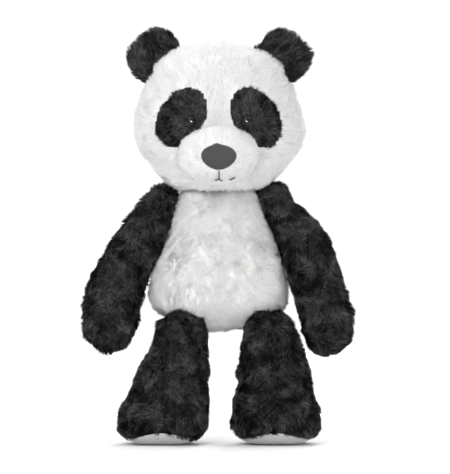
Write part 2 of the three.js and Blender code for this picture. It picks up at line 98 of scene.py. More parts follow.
# %% [markdown]
# The key lamp stands high on one side and the fill low on the other. A back lamp keeps the toy's
# back from going grey. The small glint lamp lights no cloth: it only puts a highlight in the eyes.

# %% Lamps
def lamp(name, place, aim, size, power):
    """A soft square lamp that looks at a point."""
    data = bpy.data.lights.new(name, "AREA")
    data.shape = "SQUARE"
    data.size = size
    data.energy = power
    found = placed(name, data)
    found.location = place
    found.rotation_euler = (Vector(aim) - Vector(place)).to_track_quat("-Z", "Y").to_euler()
    return found


CHEST = (0, 0, 0.2)
lamp("key_lamp", (-0.6, -2.0, 1.15), CHEST, 0.7, 23)
lamp("fill_lamp", (1.1, -1.7, 0.6), CHEST, 1.0, 2.5)
lamp("back_lamp", (0.7, 2.0, 1.3), CHEST, 0.9, 16)
glint = lamp("glint_lamp", (0.25, -1.9, 0.5), (0, 0, 0.27), 0.22, 50)
glint.visible_diffuse = False
ceiling = bpy.data.lights.new("ceiling_light", "SUN")
ceiling.energy = 2.1
ceiling.angle = math.radians(100)
placed("ceiling_light", ceiling).rotation_euler = (math.radians(-5), 0, 0)
print("lamps", len(bpy.data.lights))

# %% [markdown]
# The room's walls are white and its ceiling and floor are dimmer, so the toy's sides fall into
# soft shade while the wall behind it stays white from every side. The world can do this with one
# gradient over height, with no walls to build.

# %% White room
WALL_LIGHT, ROOM_LIGHT, WALL_TOP = 1.05, 0.42, 0.2
world = bpy.data.worlds.new("white_room")
world.use_nodes = True
tree = world.node_tree
direction = tree.nodes.new("ShaderNodeTexCoord").outputs["Generated"]
parts = tree.nodes.new("ShaderNodeSeparateXYZ")
tree.links.new(direction, parts.inputs["Vector"])
height = tree.nodes.new("ShaderNodeMath")
height.operation = "ABSOLUTE"
tree.links.new(parts.outputs["Z"], height.inputs[0])
wall = tree.nodes.new("ShaderNodeMapRange")
wall.interpolation_type = "SMOOTHSTEP"
for label, value in (("From Min", WALL_TOP / 2), ("From Max", WALL_TOP),
                     ("To Min", WALL_LIGHT), ("To Max", ROOM_LIGHT)):
    wall.inputs[label].default_value = value
tree.links.new(height.outputs["Value"], wall.inputs["Value"])
tree.links.new(wall.outputs["Result"], tree.nodes["Background"].inputs["Strength"])
tree.nodes["Background"].inputs["Color"].default_value = (1, 1, 1, 1)
bpy.context.scene.world = world
bpy.context.scene.view_settings.view_transform = "Standard"
print("wall light", WALL_LIGHT)

# %% [markdown]
# The camera looks level from far off with a long lens, so the toy isn't bent by perspective.

# %% Camera
camera_data = bpy.data.cameras.new("camera")
camera_data.sensor_fit = "VERTICAL"
camera_data.sensor_height = SENSOR
camera_data.lens = SENSOR * VIEW_DISTANCE / VIEW_HEIGHT
camera = placed("camera", camera_data)
camera.location = VIEW_CENTRE + Vector((0, -VIEW_DISTANCE, 0))
camera.rotation_euler = (math.radians(90), 0, 0)
bpy.context.scene.camera = camera
print("lens", round(camera_data.lens), "mm")


# %% [markdown]
# ## Shared effects as node groups
# A shader node group is built once and placed in many materials. These put out colours and
# heights only, and every material keeps its own shader. A few helpers make the trees short.

# %% Building node trees
def new_group(name, inputs, outputs):
    """An empty shader group with named sockets, given as (name, kind, start value)."""
    group = bpy.data.node_groups.new(name, "ShaderNodeTree")
    for label, kind, value in inputs:
        socket = group.interface.new_socket(label, in_out="INPUT", socket_type=kind)
        socket.default_value = value
    for label, kind in outputs:
        group.interface.new_socket(label, in_out="OUTPUT", socket_type=kind)
    group.nodes.new("NodeGroupInput").name = "In"
    group.nodes.new("NodeGroupOutput").name = "Out"
    return group


def math_node(tree, operation, a, b=None, clamp=False):
    """A math node whose inputs are sockets or plain numbers."""
    found = tree.nodes.new("ShaderNodeMath")
    found.operation = operation
    found.use_clamp = clamp
    for slot, value in zip(found.inputs, (a, b)):
        if isinstance(value, bpy.types.NodeSocket):
            tree.links.new(value, slot)
        elif value is not None:
            slot.default_value = value
    return found.outputs[0]


def mix_node(tree, factor, a, b):
    """A colour mix node: a at factor 0 and b at factor 1."""
    found = tree.nodes.new("ShaderNodeMix")
    found.data_type = "RGBA"
    for slot, value in ((found.inputs[0], factor), (found.inputs[6], a), (found.inputs[7], b)):
        if isinstance(value, bpy.types.NodeSocket):
            tree.links.new(value, slot)
        else:
            slot.default_value = value
    return found.outputs[2]


FLOAT, COLOR = "NodeSocketFloat", "NodeSocketColor"
GREY = (0.5, 0.5, 0.5, 1)
print("sockets", FLOAT, COLOR)

# %% [markdown]
# A strand of pile is painted darker at its root than at its tip, as painted shade deep in the pile,
# and no two tips are the same shade: their light and dark patches are painted sheen and shade, and
# the rest is random. Each strand carries both as numbers, and this group turns them into a colour.

# %% Pile colour
pile_group = new_group(
    "Pile colour",
    [("Tip", FLOAT, 0), ("Shade", FLOAT, 0.5), ("Root", COLOR, GREY), ("Dark tip", COLOR, GREY),
     ("Light tip", COLOR, GREY)],
    [("Colour", COLOR)],
)
inside, outside = pile_group.nodes["In"].outputs, pile_group.nodes["Out"].inputs
# The Light tip colour is painted sheen and the Dark tip colour painted shade, mixed by each
# strand's shade, which is partly painted light and partly random; the Root colour is painted shade
# deep in the pile.
tip_colour = mix_node(pile_group, inside["Shade"], inside["Dark tip"], inside["Light tip"])
pile_group.links.new(
    mix_node(pile_group, inside["Tip"], inside["Root"], tip_colour), outside["Colour"]
)

print(pile_group.name, len(pile_group.nodes), "nodes")

# %% [markdown]
# Thin cloth is a cross of threads with a little fuzz. Two crossed waves give the threads, which
# holds its scale on any shape, where an image would stretch.

# %% Cloth weave
weave_group = new_group(
    "Cloth weave", [("Threads", FLOAT, 900), ("Fuzz", FLOAT, 0.3)], [("Height", FLOAT)]
)
inside, outside = weave_group.nodes["In"].outputs, weave_group.nodes["Out"].inputs
place = weave_group.nodes.new("ShaderNodeTexCoord").outputs["Object"]
waves = []
for direction in ("X", "Z"):
    wave = weave_group.nodes.new("ShaderNodeTexWave")
    wave.bands_direction = direction
    weave_group.links.new(place, wave.inputs["Vector"])
    weave_group.links.new(inside["Threads"], wave.inputs["Scale"])
    wave.inputs["Distortion"].default_value = 0.6
    waves.append(wave.outputs["Fac"])
threads = math_node(weave_group, "MULTIPLY", waves[0], waves[1])
fuzz = weave_group.nodes.new("ShaderNodeTexNoise")
weave_group.links.new(place, fuzz.inputs["Vector"])
fuzz.inputs["Scale"].default_value = 1400
fuzz_height = math_node(weave_group, "MULTIPLY", fuzz.outputs["Fac"], inside["Fuzz"])
weave_group.links.new(math_node(weave_group, "ADD", threads, fuzz_height), outside["Height"])

print(weave_group.name, len(weave_group.nodes), "nodes")

# %% [markdown]
# Suede has a fine grain, and wide soft patches where its nap lies one way or the other.

# %% Suede nap
nap_group = new_group(
    "Suede nap",
    [("Light", COLOR, GREY), ("Dark", COLOR, GREY), ("Patch size", FLOAT, 60)],
    [("Colour", COLOR), ("Height", FLOAT)],
)
inside, outside = nap_group.nodes["In"].outputs, nap_group.nodes["Out"].inputs
place = nap_group.nodes.new("ShaderNodeTexCoord").outputs["Object"]
patches, grain = [nap_group.nodes.new("ShaderNodeTexNoise") for _ in range(2)]
nap_group.links.new(place, patches.inputs["Vector"])
nap_group.links.new(place, grain.inputs["Vector"])
nap_group.links.new(inside["Patch size"], patches.inputs["Scale"])
grain.inputs["Scale"].default_value = 1600
grain.inputs["Detail"].default_value = 3
brushed = math_node(nap_group, "MULTIPLY", patches.outputs["Fac"], 0.7)
speckled = math_node(nap_group, "MULTIPLY", grain.outputs["Fac"], 0.5)
blend = math_node(nap_group, "ADD", brushed, speckled, clamp=True)
nap_group.links.new(mix_node(nap_group, blend, inside["Dark"], inside["Light"]), outside["Colour"])
nap_group.links.new(grain.outputs["Fac"], outside["Height"])
print(nap_group.name, len(nap_group.nodes), "nodes")


# %% [markdown]
# ## Materials
# Every finish is one Principled shader with its plain values on its own sockets. These helpers
# make the shader, place a group, and feed a bump or a mottled colour to it.

# %% Building materials
def new_material(name, **shader_values):
    """A material with one Principled shader and plain values on its sockets."""
    material = bpy.data.materials.new(name)
    material.use_nodes = True
    shader = material.node_tree.nodes["Principled BSDF"]
    for label, value in shader_values.items():
        shader.inputs[label.replace("_", " ")].default_value = value
    return material, material.node_tree, shader


def place_group(tree, group, **values):
    """A group node in a material, with its own values."""
    found = tree.nodes.new("ShaderNodeGroup")
    found.node_tree = group
    for label, value in values.items():
        found.inputs[label.replace("_", " ")].default_value = value
    return found


def bump(tree, shader, height, strength, distance):
    """Feeds a height to the shader's normal through a Bump node."""
    found = tree.nodes.new("ShaderNodeBump")
    found.inputs["Strength"].default_value = strength
    found.inputs["Distance"].default_value = distance
    tree.links.new(height, found.inputs["Height"])
    tree.links.new(found.outputs["Normal"], shader.inputs["Normal"])


def mottled(tree, shader, scale, dark, light):
    """A base colour that wanders between two shades."""
    noise = tree.nodes.new("ShaderNodeTexNoise")
    noise.inputs["Scale"].default_value = scale
    colour = mix_node(tree, noise.outputs["Fac"], (*dark, 1), (*light, 1))
    tree.links.new(colour, shader.inputs["Base Color"])


# %% [markdown]
# Plush pile scatters light along its strands, so its shader is rough. The black pile has grey tips
# that catch the lamps in patches, and this grey is painted sheen. The knitted cloth under a pile is
# painted a little darker than it, as painted shade under the pile.

# %% Pile and its cloth
def pile_material(name, root, dark_tip, light_tip, roughness, sheen, specular):
    """The strands of a pile, coloured by the attributes that the strands carry."""
    material, tree, shader = new_material(
        name, Roughness=roughness, Sheen_Weight=sheen, Sheen_Roughness=0.5,
        Specular_IOR_Level=specular,
    )
    group = place_group(
        tree, pile_group, Root=(*root, 1), Dark_tip=(*dark_tip, 1), Light_tip=(*light_tip, 1)
    )
    for label, attribute in (("Tip", "tip"), ("Shade", "shade")):
        reader = tree.nodes.new("ShaderNodeAttribute")
        reader.attribute_name = attribute
        tree.links.new(reader.outputs["Fac"], group.inputs[label])
    tree.links.new(group.outputs["Colour"], shader.inputs["Base Color"])
    return material


def backing_material(name, light, dark):
    """The knitted cloth that a pile is rooted in."""
    material, tree, shader = new_material(name, Roughness=0.95)
    noise = tree.nodes.new("ShaderNodeTexNoise")
    noise.inputs["Scale"].default_value = 160
    place = tree.nodes.new("ShaderNodeTexCoord").outputs["Object"]
    tree.links.new(place, noise.inputs["Vector"])
    colour = mix_node(tree, noise.outputs["Fac"], (*dark, 1), (*light, 1))
    tree.links.new(colour, shader.inputs["Base Color"])
    weave = place_group(tree, weave_group, Threads=520.0, Fuzz=0.8)
    bump(tree, shader, weave.outputs["Height"], 0.6, 0.0004)
    return material


# Roots are painted darker than tips as shade deep in the pile, the black pile's grey light tip is
# painted sheen, and the white backing is painted darker than its pile as shade under it.
WHITE_PILE = pile_material(
    "white_pile", (0.86, 0.855, 0.845), (0.92, 0.918, 0.912), (0.965, 0.963, 0.958), 0.85, 0.1, 0.03
)
BLACK_PILE = pile_material(
    "black_pile", (0.001, 0.001, 0.001), (0.0012, 0.0012, 0.0014), (0.135, 0.135, 0.139),
    0.5, 0.0, 0.06,
)
WHITE_CLOTH = backing_material("white_backing", (0.78, 0.77, 0.76), (0.7, 0.69, 0.68))
BLACK_CLOTH = backing_material("black_backing", (0.007, 0.007, 0.008), (0.003, 0.003, 0.0035))

print("pile materials", WHITE_PILE.name, BLACK_PILE.name)

# %% [markdown]
# The eyes are polished black plastic and their washers plain moulded plastic, with only a trace
# of mottling.

# %% Plastics
EYE_PLASTIC, tree, shader = new_material("eye_plastic", Roughness=0.06, Specular_IOR_Level=0.3)
mottled(tree, shader, 300, dark=(0.002, 0.002, 0.002), light=(0.006, 0.005, 0.005))
WASHER_PLASTIC, tree, shader = new_material("washer_plastic", Roughness=0.5)
mottled(tree, shader, 250, dark=(0.7, 0.7, 0.66), light=(0.82, 0.82, 0.78))
print("plastics", EYE_PLASTIC.name, WASHER_PLASTIC.name)

# %% [markdown]
# The nose is short brushed cloth, which shows its weave, and the soles are pale suede, which
# shows its nap. Both take their colour from the nap group with their own two shades.

# %% Nose cloth and suede
NOSE_CLOTH, tree, shader = new_material(
    "nose_cloth", Roughness=0.85, Sheen_Weight=0.12, Sheen_Roughness=0.4
)
nap = place_group(
    tree, nap_group, Light=(0.042, 0.038, 0.042, 1), Dark=(0.02, 0.018, 0.02, 1), Patch_size=180.0
)
tree.links.new(nap.outputs["Colour"], shader.inputs["Base Color"])
weave = place_group(tree, weave_group, Threads=700.0, Fuzz=0.9)
bump(tree, shader, weave.outputs["Height"], 0.5, 0.0003)

SUEDE, tree, shader = new_material("suede", Roughness=0.9, Sheen_Weight=0.3, Sheen_Roughness=0.5)
nap = place_group(
    tree, nap_group, Light=(0.52, 0.515, 0.5, 1), Dark=(0.38, 0.375, 0.37, 1), Patch_size=45.0
)
tree.links.new(nap.outputs["Colour"], shader.inputs["Base Color"])
bump(tree, shader, nap.outputs["Height"], 0.35, 0.0003)

print("cloths", NOSE_CLOTH.name, SUEDE.name)

# %% [markdown]
# The mouth is black thread with a slight sheen, the label is satin ribbon, and the floor is matt
# paint so pale that it meets the white wall without a line.

# %% Thread, ribbon and floor
THREAD, tree, shader = new_material("thread", Roughness=0.5, Sheen_Weight=0.3)
mottled(tree, shader, 900, dark=(0.004, 0.004, 0.004), light=(0.02, 0.02, 0.02))
LABEL_SATIN, tree, shader = new_material("label_satin", Roughness=0.4, Sheen_Weight=0.2)
mottled(tree, shader, 120, dark=(0.8, 0.8, 0.79), light=(0.88, 0.88, 0.87))
weave = place_group(tree, weave_group, Threads=1100.0, Fuzz=0.1)
bump(tree, shader, weave.outputs["Height"], 0.4, 0.0001)

FLOOR_PAINT, tree, shader = new_material(
    "pale_floor", Base_Color=(0.96, 0.96, 0.96, 1), Roughness=0.7
)
floor_mesh.materials.append(FLOOR_PAINT)
print("materials", len(bpy.data.materials))


# %% [markdown]
# ## Sewn skins
# A stuffed limb is a closed cloth bag. Its shape is a stack of ovals on a smooth curve with round
# ends, which is quick to tune and always closes. Nothing sewn and stuffed is perfectly even, so
# first comes a source of smooth random waves: a sum of sines in random directions.

# %% Smooth random waves
def ripple(points, size, seed, waves=16):
    """Smooth random numbers, mostly from -1 to 1, that change over a distance of size."""
    dice = np.random.default_rng(seed)
    total = np.zeros(len(points))
    for _ in range(waves):
        direction = dice.normal(size=3)
        direction *= 2 * np.pi * dice.uniform(0.7, 1.4) / (size * np.linalg.norm(direction))
        total += np.sin(points @ direction + dice.uniform(0, 2 * np.pi))
    return total / math.sqrt(waves)


def ripples(points, size, seed):
    """Three ripples at once: a smooth random vector at each point."""
    return np.stack([ripple(points, size, seed + k) for k in range(3)], axis=1)


print("a ripple at the origin", ripple(np.zeros((1, 3)), 10 * MM, seed=1).round(3))


# %% [markdown]
# A few measured ovals are enough for a limb: a smooth curve through them gives the rings between,
# and each end is closed by a dome.

# %% Stacked ovals
def smooth_rows(rows, steps=8):
    """More rows between the given ones, on a smooth curve through them."""
    rows = np.array(rows, float)
    ends = np.vstack([2 * rows[0] - rows[1], rows, 2 * rows[-1] - rows[-2]])
    found = []
    for i in range(len(rows) - 1):
        a, b, c, d = ends[i:i + 4]
        for t in np.arange(steps) / steps:
            cubic = (-a + 3 * b - 3 * c + d) * t**3 + (2 * a - 5 * b + 4 * c - d) * t**2
            found.append((cubic + (c - a) * t + 2 * b) / 2)
    return np.array(found + [rows[-1]])


def stacked_skin(rows, low, high, sides=72, dome_rings=10):
    """Points and faces of ovals (height, x, y, half width, half depth) with domed ends."""
    body = smooth_rows(rows) * MM
    rings = []
    for k in range(1, dome_rings):
        angle = (k / dome_rings - 1) * math.pi / 2
        ring = body[0].copy()
        ring[0] = body[0][0] + (body[0][0] - low * MM) * math.sin(angle)
        ring[3:] = body[0][3:] * math.cos(angle)
        rings.append(ring)
    rings.extend(body)
    for k in range(1, dome_rings):
        angle = k / dome_rings * math.pi / 2
        ring = body[-1].copy()
        ring[0] = body[-1][0] + (high * MM - body[-1][0]) * math.sin(angle)
        ring[3:] = body[-1][3:] * math.cos(angle)
        rings.append(ring)
    rings = np.array(rings)
    turn = np.arange(sides) / sides * 2 * np.pi
    x = rings[:, 1, None] + rings[:, 3, None] * np.cos(turn)
    y = rings[:, 2, None] + rings[:, 4, None] * np.sin(turn)
    z = np.repeat(rings[:, 0, None], sides, axis=1)
    points = np.stack([x, y, z], axis=2).reshape(-1, 3)
    bottom = [body[0][1], body[0][2], low * MM]
    top = [body[-1][1], body[-1][2], high * MM]
    points = np.vstack([points, bottom, top])
    count = len(rings)
    faces = []
    for j in range(sides):
        k = (j + 1) % sides
        faces.append((count * sides, k, j))
        faces.append((count * sides + 1, (count - 1) * sides + j, (count - 1) * sides + k))
        for i in range(count - 1):
            faces.append((i * sides + j, i * sides + k, (i + 1) * sides + k, (i + 1) * sides + j))
    return points, faces


# %% [markdown]
# Blender keeps points in its meshes and numpy is quick at moving thousands of them, so these
# small helpers carry points from one to the other.

# %% Meshes and their points
def mesh_object(name, points, faces, material):
    """An object from points and faces, linked to the scene."""
    mesh = bpy.data.meshes.new(name)
    mesh.from_pydata([tuple(point) for point in points], [], faces)
    mesh.materials.append(material)
    mesh.shade_smooth()
    mesh.update()
    return placed(name, mesh)


def vertices_of(thing):
    """The points and normals of an object's mesh as two arrays."""
    mesh = thing.data
    points = np.zeros(len(mesh.vertices) * 3)
    normals = np.zeros(len(mesh.vertices) * 3)
    mesh.vertices.foreach_get("co", points)
    mesh.vertices.foreach_get("normal", normals)
    return points.reshape(-1, 3), normals.reshape(-1, 3)


def move_vertices(thing, points):
    """Puts new points into an object's mesh."""
    thing.data.vertices.foreach_set("co", points.astype(np.float32).ravel())
    thing.data.update()


# %% [markdown]
# Stuffing presses a sewn bag outwards, and its cloth wrinkles a little as it takes the load.
# Cloth simulation with pressure does just this on an even mesh. The cloth also draws in as it
# settles, so the bag is let out again until it is as big as it was cut.

# %% Stuffing
SWELL_FRAMES = 20
PRESSURE = 4
DEFLATE = 1.5 * MM  # the bag starts this much smaller, because it swells
FOLLOW = 0.6  # how closely the bag is let out at each place, and not only as a whole


def bake_modifiers(thing):
    """Replaces an object's mesh by what its modifiers make of it, and removes them."""
    graph = bpy.context.evaluated_depsgraph_get()
    mesh = bpy.data.meshes.new_from_object(thing.evaluated_get(graph))
    thing.modifiers.clear()
    thing.data = mesh


def stuff(thing, voxel=5 * MM, most=5 * MM):
    """Blows a sewn bag up with cloth simulation, then lets it out to the size it was cut for."""
    cut = bmesh.new()
    cut.from_mesh(thing.data)
    cut_shape = BVHTree.FromBMesh(cut)
    cut.free()
    remesh = thing.modifiers.new("weave", "REMESH")
    remesh.mode = "VOXEL"
    remesh.voxel_size = voxel
    bake_modifiers(thing)
    start, normals = vertices_of(thing)
    move_vertices(thing, start - normals * DEFLATE)
    cloth = thing.modifiers.new("stuffing", "CLOTH")
    cloth.settings.use_pressure = True
    cloth.settings.uniform_pressure_force = PRESSURE
    cloth.settings.effector_weights.gravity = 0
    cloth.point_cache.frame_start = 1
    cloth.point_cache.frame_end = SWELL_FRAMES
    for frame_number in range(1, SWELL_FRAMES + 1):
        bpy.context.scene.frame_set(frame_number)
    bake_modifiers(thing)
    bpy.context.scene.frame_set(1)
    swollen, _ = vertices_of(thing)
    move = swollen - start
    far = np.linalg.norm(move, axis=1)
    share = np.minimum(1, most / np.maximum(far, 1e-9))
    move_vertices(thing, start + move * share[:, None])
    finer = thing.modifiers.new("finer", "SUBSURF")
    finer.levels = 1
    bake_modifiers(thing)
    thing.data.shade_smooth()
    points, normals = vertices_of(thing)
    on_cut = np.array([cut_shape.find_nearest(point)[0] for point in points])
    gap = ((on_cut - points) * normals).sum(axis=1)
    let_out = FOLLOW * gap + (1 - FOLLOW) * gap.mean()
    move_vertices(thing, points + normals * let_out[:, None])
    print(thing.name, "let out by", round(float(gap.mean()) / MM, 2), "mm")


print("frames of swelling", SWELL_FRAMES)


# %% [markdown]
# Lumps of stuffing are broader than the cloth's wrinkles, so two waves of different size lift the
# skin. A patch of other cloth is a copy of the skin's own faces, a little above it.

# %% Lumps and sewn-on patches
def make_lumpy(thing, seed, soft=1.3 * MM, small=0.5 * MM):
    """Low waves from the stuffing and small ones from the cloth, along the skin's normal."""
    points, normals = vertices_of(thing)
    lift = soft * ripple(points, 60 * MM, seed) + small * ripple(points, 17 * MM, seed + 50)
    move_vertices(thing, points + normals * lift[:, None])


PATCH_LIFT, PATCH_THICK = 0.5 * MM, 0.8 * MM


def sewn_on(name, skin, covered):
    """A patch of black cloth over the covered points of a skin."""
    mesh = skin.data.copy()
    found = placed(name, mesh)
    cut = bmesh.new()
    cut.from_mesh(mesh)
    cut.verts.ensure_lookup_table()
    bmesh.ops.delete(cut, geom=[v for v in cut.verts if not covered[v.index]], context="VERTS")
    for vertex in cut.verts:
        vertex.co += vertex.normal * PATCH_LIFT
    cut.to_mesh(mesh)
    cut.free()
    mesh.materials.clear()
    mesh.materials.append(BLACK_CLOTH)
    cloth = found.modifiers.new("cloth", "SOLIDIFY")
    cloth.thickness = PATCH_THICK
    cloth.offset = -1
    return found


print("patch cloth", PATCH_THICK / MM, "mm")


# %% [markdown]
# ## Growing the pile
# Hair particles would not survive an export, so each strand is a thin closed spike of four
# triangles. Strands start at random points of the skin, lean with the flow of the pile, and draw
# together into small tufts as plush fibres do. The flow wanders over a few centimetres, which
# gives the brushed patches of light and dark that real plush shows.

# %% Roots and tufts
def scatter(skin, density, dice):
    """Random places on a skin: points and smooth normals, in numbers that match its area."""
    mesh = skin.data
    mesh.calc_loop_triangles()
    corners = np.zeros(len(mesh.loop_triangles) * 3, int)
    mesh.loop_triangles.foreach_get("vertices", corners)
    corners = corners.reshape(-1, 3)
    points, normals = vertices_of(skin)
    a, b, c = (points[corners[:, k]] for k in range(3))
    areas = np.linalg.norm(np.cross(b - a, c - a), axis=1) / 2
    count = int(areas.sum() / MM**2 * density)
    chosen = dice.choice(len(areas), count, p=areas / areas.sum())
    u, v = dice.random((2, count))
    flip = u + v > 1
    u[flip], v[flip] = 1 - u[flip], 1 - v[flip]
    weights = np.stack([1 - u - v, u, v], axis=1)
    where = (points[corners[chosen]] * weights[:, :, None]).sum(axis=1)
    facing = (normals[corners[chosen]] * weights[:, :, None]).sum(axis=1)
    return where, facing / np.linalg.norm(facing, axis=1)[:, None]


def unit(vectors):
    """Vectors in the same directions, each of length 1."""
    return vectors / np.maximum(np.linalg.norm(vectors, axis=1), 1e-12)[:, None]


def nearest(points, centres):
    """For each point, the number of the nearest centre."""
    tree = KDTree(len(centres))
    for i, centre in enumerate(centres):
        tree.insert(centre, i)
    tree.balance()
    return np.fromiter((tree.find(point)[1] for point in points), int, len(points))


def drawn_together(tip, root, followers, gather, dice):
    """Tips pulled towards the tips of randomly chosen leaders, each with so many followers."""
    leaders = dice.choice(len(root), max(1, int(len(root) / followers)), replace=False)
    owner = leaders[nearest(root, root[leaders])]
    pull = gather * dice.uniform(0.5, 1.0, (len(root), 1))
    return tip * (1 - pull) + (tip[owner] + 0.25 * (root - root[owner])) * pull


print("two steps as directions", unit(np.array([[2.0, 0, 0], [0, 0, -3.0]])).tolist())


# %% [markdown]
# One strand is three points round its root and one at its tip. All the strands of a pile go into
# one mesh, filled from whole arrays, since hundreds of thousands of them would be slow one by one.

# %% Strands
STRAND_HALF_WIDTH = 0.3 * MM
STRAND_SUNK = 0.4 * MM  # how deep a root sits in the cloth
STRAND_FACES = [0, 1, 3, 1, 2, 3, 2, 0, 3, 0, 2, 1]


def strands(name, root, tip, along, dice):
    """A mesh of closed spikes from roots to tips, and which point each face corner uses."""
    count = len(root)
    side = unit(np.cross(along, dice.normal(size=(count, 3))))
    other = np.cross(along, side)
    points = np.empty((count, 4, 3))
    for k in range(3):
        turn = k * 2 * math.pi / 3
        around = side * math.cos(turn) + other * math.sin(turn)
        points[:, k] = root + around * STRAND_HALF_WIDTH - along * STRAND_SUNK
    points[:, 3] = tip
    loops = (np.arange(count)[:, None] * 4 + STRAND_FACES).ravel()
    mesh = bpy.data.meshes.new(name)
    mesh.vertices.add(count * 4)
    mesh.loops.add(count * 12)
    mesh.polygons.add(count * 4)
    mesh.vertices.foreach_set("co", points.astype(np.float32).ravel())
    mesh.loops.foreach_set("vertex_index", loops.astype(np.int32))
    mesh.polygons.foreach_set("loop_start", np.arange(0, count * 12, 3, dtype=np.int32))
    mesh.polygons.foreach_set("use_smooth", np.ones(count * 4, bool))
    return mesh, loops


def carry_shade(mesh, loops, shade):
    """Each strand's shade, and 0 at its root to 1 at its tip, for the shader and in a UV map."""
    shade = np.repeat(shade, 4)
    height = np.tile([0.0, 0.0, 0.0, 1.0], len(shade) // 4)
    for label, values in (("tip", height), ("shade", shade)):
        found = mesh.attributes.new(label, "FLOAT", "POINT")
        found.data.foreach_set("value", values.astype(np.float32))
    bake_map = mesh.uv_layers.new(name="OFBake")
    both = np.stack([shade[loops], height[loops]], axis=1)
    bake_map.data.foreach_set("uv", both.astype(np.float32).ravel())


print("faces of a strand", len(STRAND_FACES) // 3)


# %% [markdown]
# A whole pile is grown in one go: roots, brushing, length, tufts, then the painted light and shade
# of its tips. The white pile is nearly even and the black one is broken up a lot, as its painted
# grey sheen shows every tuft.

# %% Growing a pile
# How uneven a pile is: broad waves, fine tufts, painted patches of sheen and shade, each strand's
# random shade, and lean.
WHITE_LOOK = (0.02, 0.08, 0.03, 0.1, 0.08)
BLACK_LOOK = (0.4, 0.35, 0.75, 0.55, 0.24)
LOCK_SPACING, TUFT_SPACING = 9, 3.2  # in millimetres
LOCK_GATHER, TUFT_GATHER = 0.35, 0.5  # how far tips are drawn together
# Along a seam the pile is shorter, and its tips are painted darker, as shade in the seam's groove.
SEAM_SHORTENS, SEAM_PAINTED_SHADE = 0.55, 0.9
MIDDLE_SHADE = 0.34


def grow_pile(name, skin, material, length, flow, keep=None, density=1.4, lean=0.95, seed=1,
              swirl=0.45, tone=0.0, seam=None, trim=None):
    """A pile of strands on a skin. flow gives the brushing direction at points, keep a mask."""
    relief, fine, painted_light_contrast, grain, sway = WHITE_LOOK if material is WHITE_PILE else BLACK_LOOK
    dice = np.random.default_rng(seed)
    root, normal = scatter(skin, density, dice)
    if keep is not None:
        kept = keep(root, normal)
        root, normal = root[kept], normal[kept]
    count = len(root)
    wander = ripples(root, 30 * MM, seed + 10) + 0.5 * ripples(root, 11 * MM, seed + 20)
    brushed = flow(root, normal) + swirl * wander + 0.25 * dice.normal(size=(count, 3))
    brushed = unit(brushed - normal * (brushed * normal).sum(axis=1)[:, None])
    tilt = lean + sway * ripple(root, 14 * MM, seed + 30) + 0.1 * dice.normal(size=count)
    tilt = np.clip(tilt, 0.25, 1.25)[:, None]
    along = normal * np.cos(tilt) + brushed * np.sin(tilt)
    size = 0.85 + 0.13 * ripple(root, 9 * MM, seed + 40) + 0.12 * ripple(root, 20 * MM, seed + 45)
    size = np.clip(size + 0.1 * dice.normal(size=count), 0.45, 1.35)
    pinch = np.zeros(count) if seam is None else seam(root)
    size = (length * size * (1 - SEAM_SHORTENS * pinch))[:, None]
    tip = root + along * size
    tip = drawn_together(tip, root, density * LOCK_SPACING**2, LOCK_GATHER, dice)
    tip = drawn_together(tip, root, density * TUFT_SPACING**2, TUFT_GATHER, dice)
    if trim is not None:
        kept = trim(tip)
        root, normal, tip, pinch = root[kept], normal[kept], tip[kept], pinch[kept]
        count = len(root)
    along = unit(tip - root)
    mesh, loops = strands(name, root, tip, along, dice)
    # The patches in each strand's shade are painted light and shade: sheen on the black pile's
    # tufts and soft shade on the white, plus a random part per strand.
    painted_light_patches = 0.7 * ripple(root, 24 * MM, seed + 60) + 0.5 * ripple(root, 9 * MM, seed + 65)
    shade = MIDDLE_SHADE + painted_light_contrast * painted_light_patches + grain * dice.normal(size=count)
    # Near a seam the shade is lowered: painted shade in the seam's groove.
    carry_shade(mesh, loops, np.clip(shade + tone - SEAM_PAINTED_SHADE * pinch, 0, 1))
    mesh.materials.append(material)
    mesh.update(calc_edges=True)
    mesh.validate()
    # A pile is lit as a soft surface, so each strand shares most of its skin's facing.
    facing = normal + relief * ripples(root, 17 * MM, seed + 70) + 0.6 * relief * along
    facing = facing + fine * ripples(root, 5 * MM, seed + 80)
    facing = np.repeat(unit(facing + 0.5 * fine * dice.normal(size=(count, 3))), 4, axis=0)
    mesh.normals_split_custom_set_from_vertices(facing.astype(np.float32))
    print(name, count, "strands")
    return placed(name, mesh)


def downwards(points, normals):
    """Pile brushed down, and backwards where it faces up."""
    return np.tile([0.0, 0.25, -1.0], (len(points), 1))


print("pile looks", WHITE_LOOK, BLACK_LOOK)

# %% [markdown]
# ## The head
# A broad, slightly flattened ball with full cheeks, cut from a face and a back that meet over
# the crown. The white pile leaves room for the eye patches, and the muzzle is its own panel.

# %% Head skin
HEAD_ROWS = [  # height, x, y, half width, half depth, in millimetres
    (228, 0, -1, 44, 38), (238, 0, -1, 54, 44), (250, 0, -2, 65, 50), (266, 0, -2, 71, 53),
    (282, 0, -2, 69, 53), (300, 0, -2, 63, 50), (315, 0, -1, 55, 45),
]
HEAD_LOW, HEAD_HIGH = 216, 341.5
head_points, head_faces = stacked_skin(HEAD_ROWS, HEAD_LOW, HEAD_HIGH)
head = mesh_object("head_skin", head_points, head_faces, WHITE_CLOTH)
stuff(head)
make_lumpy(head, seed=3)

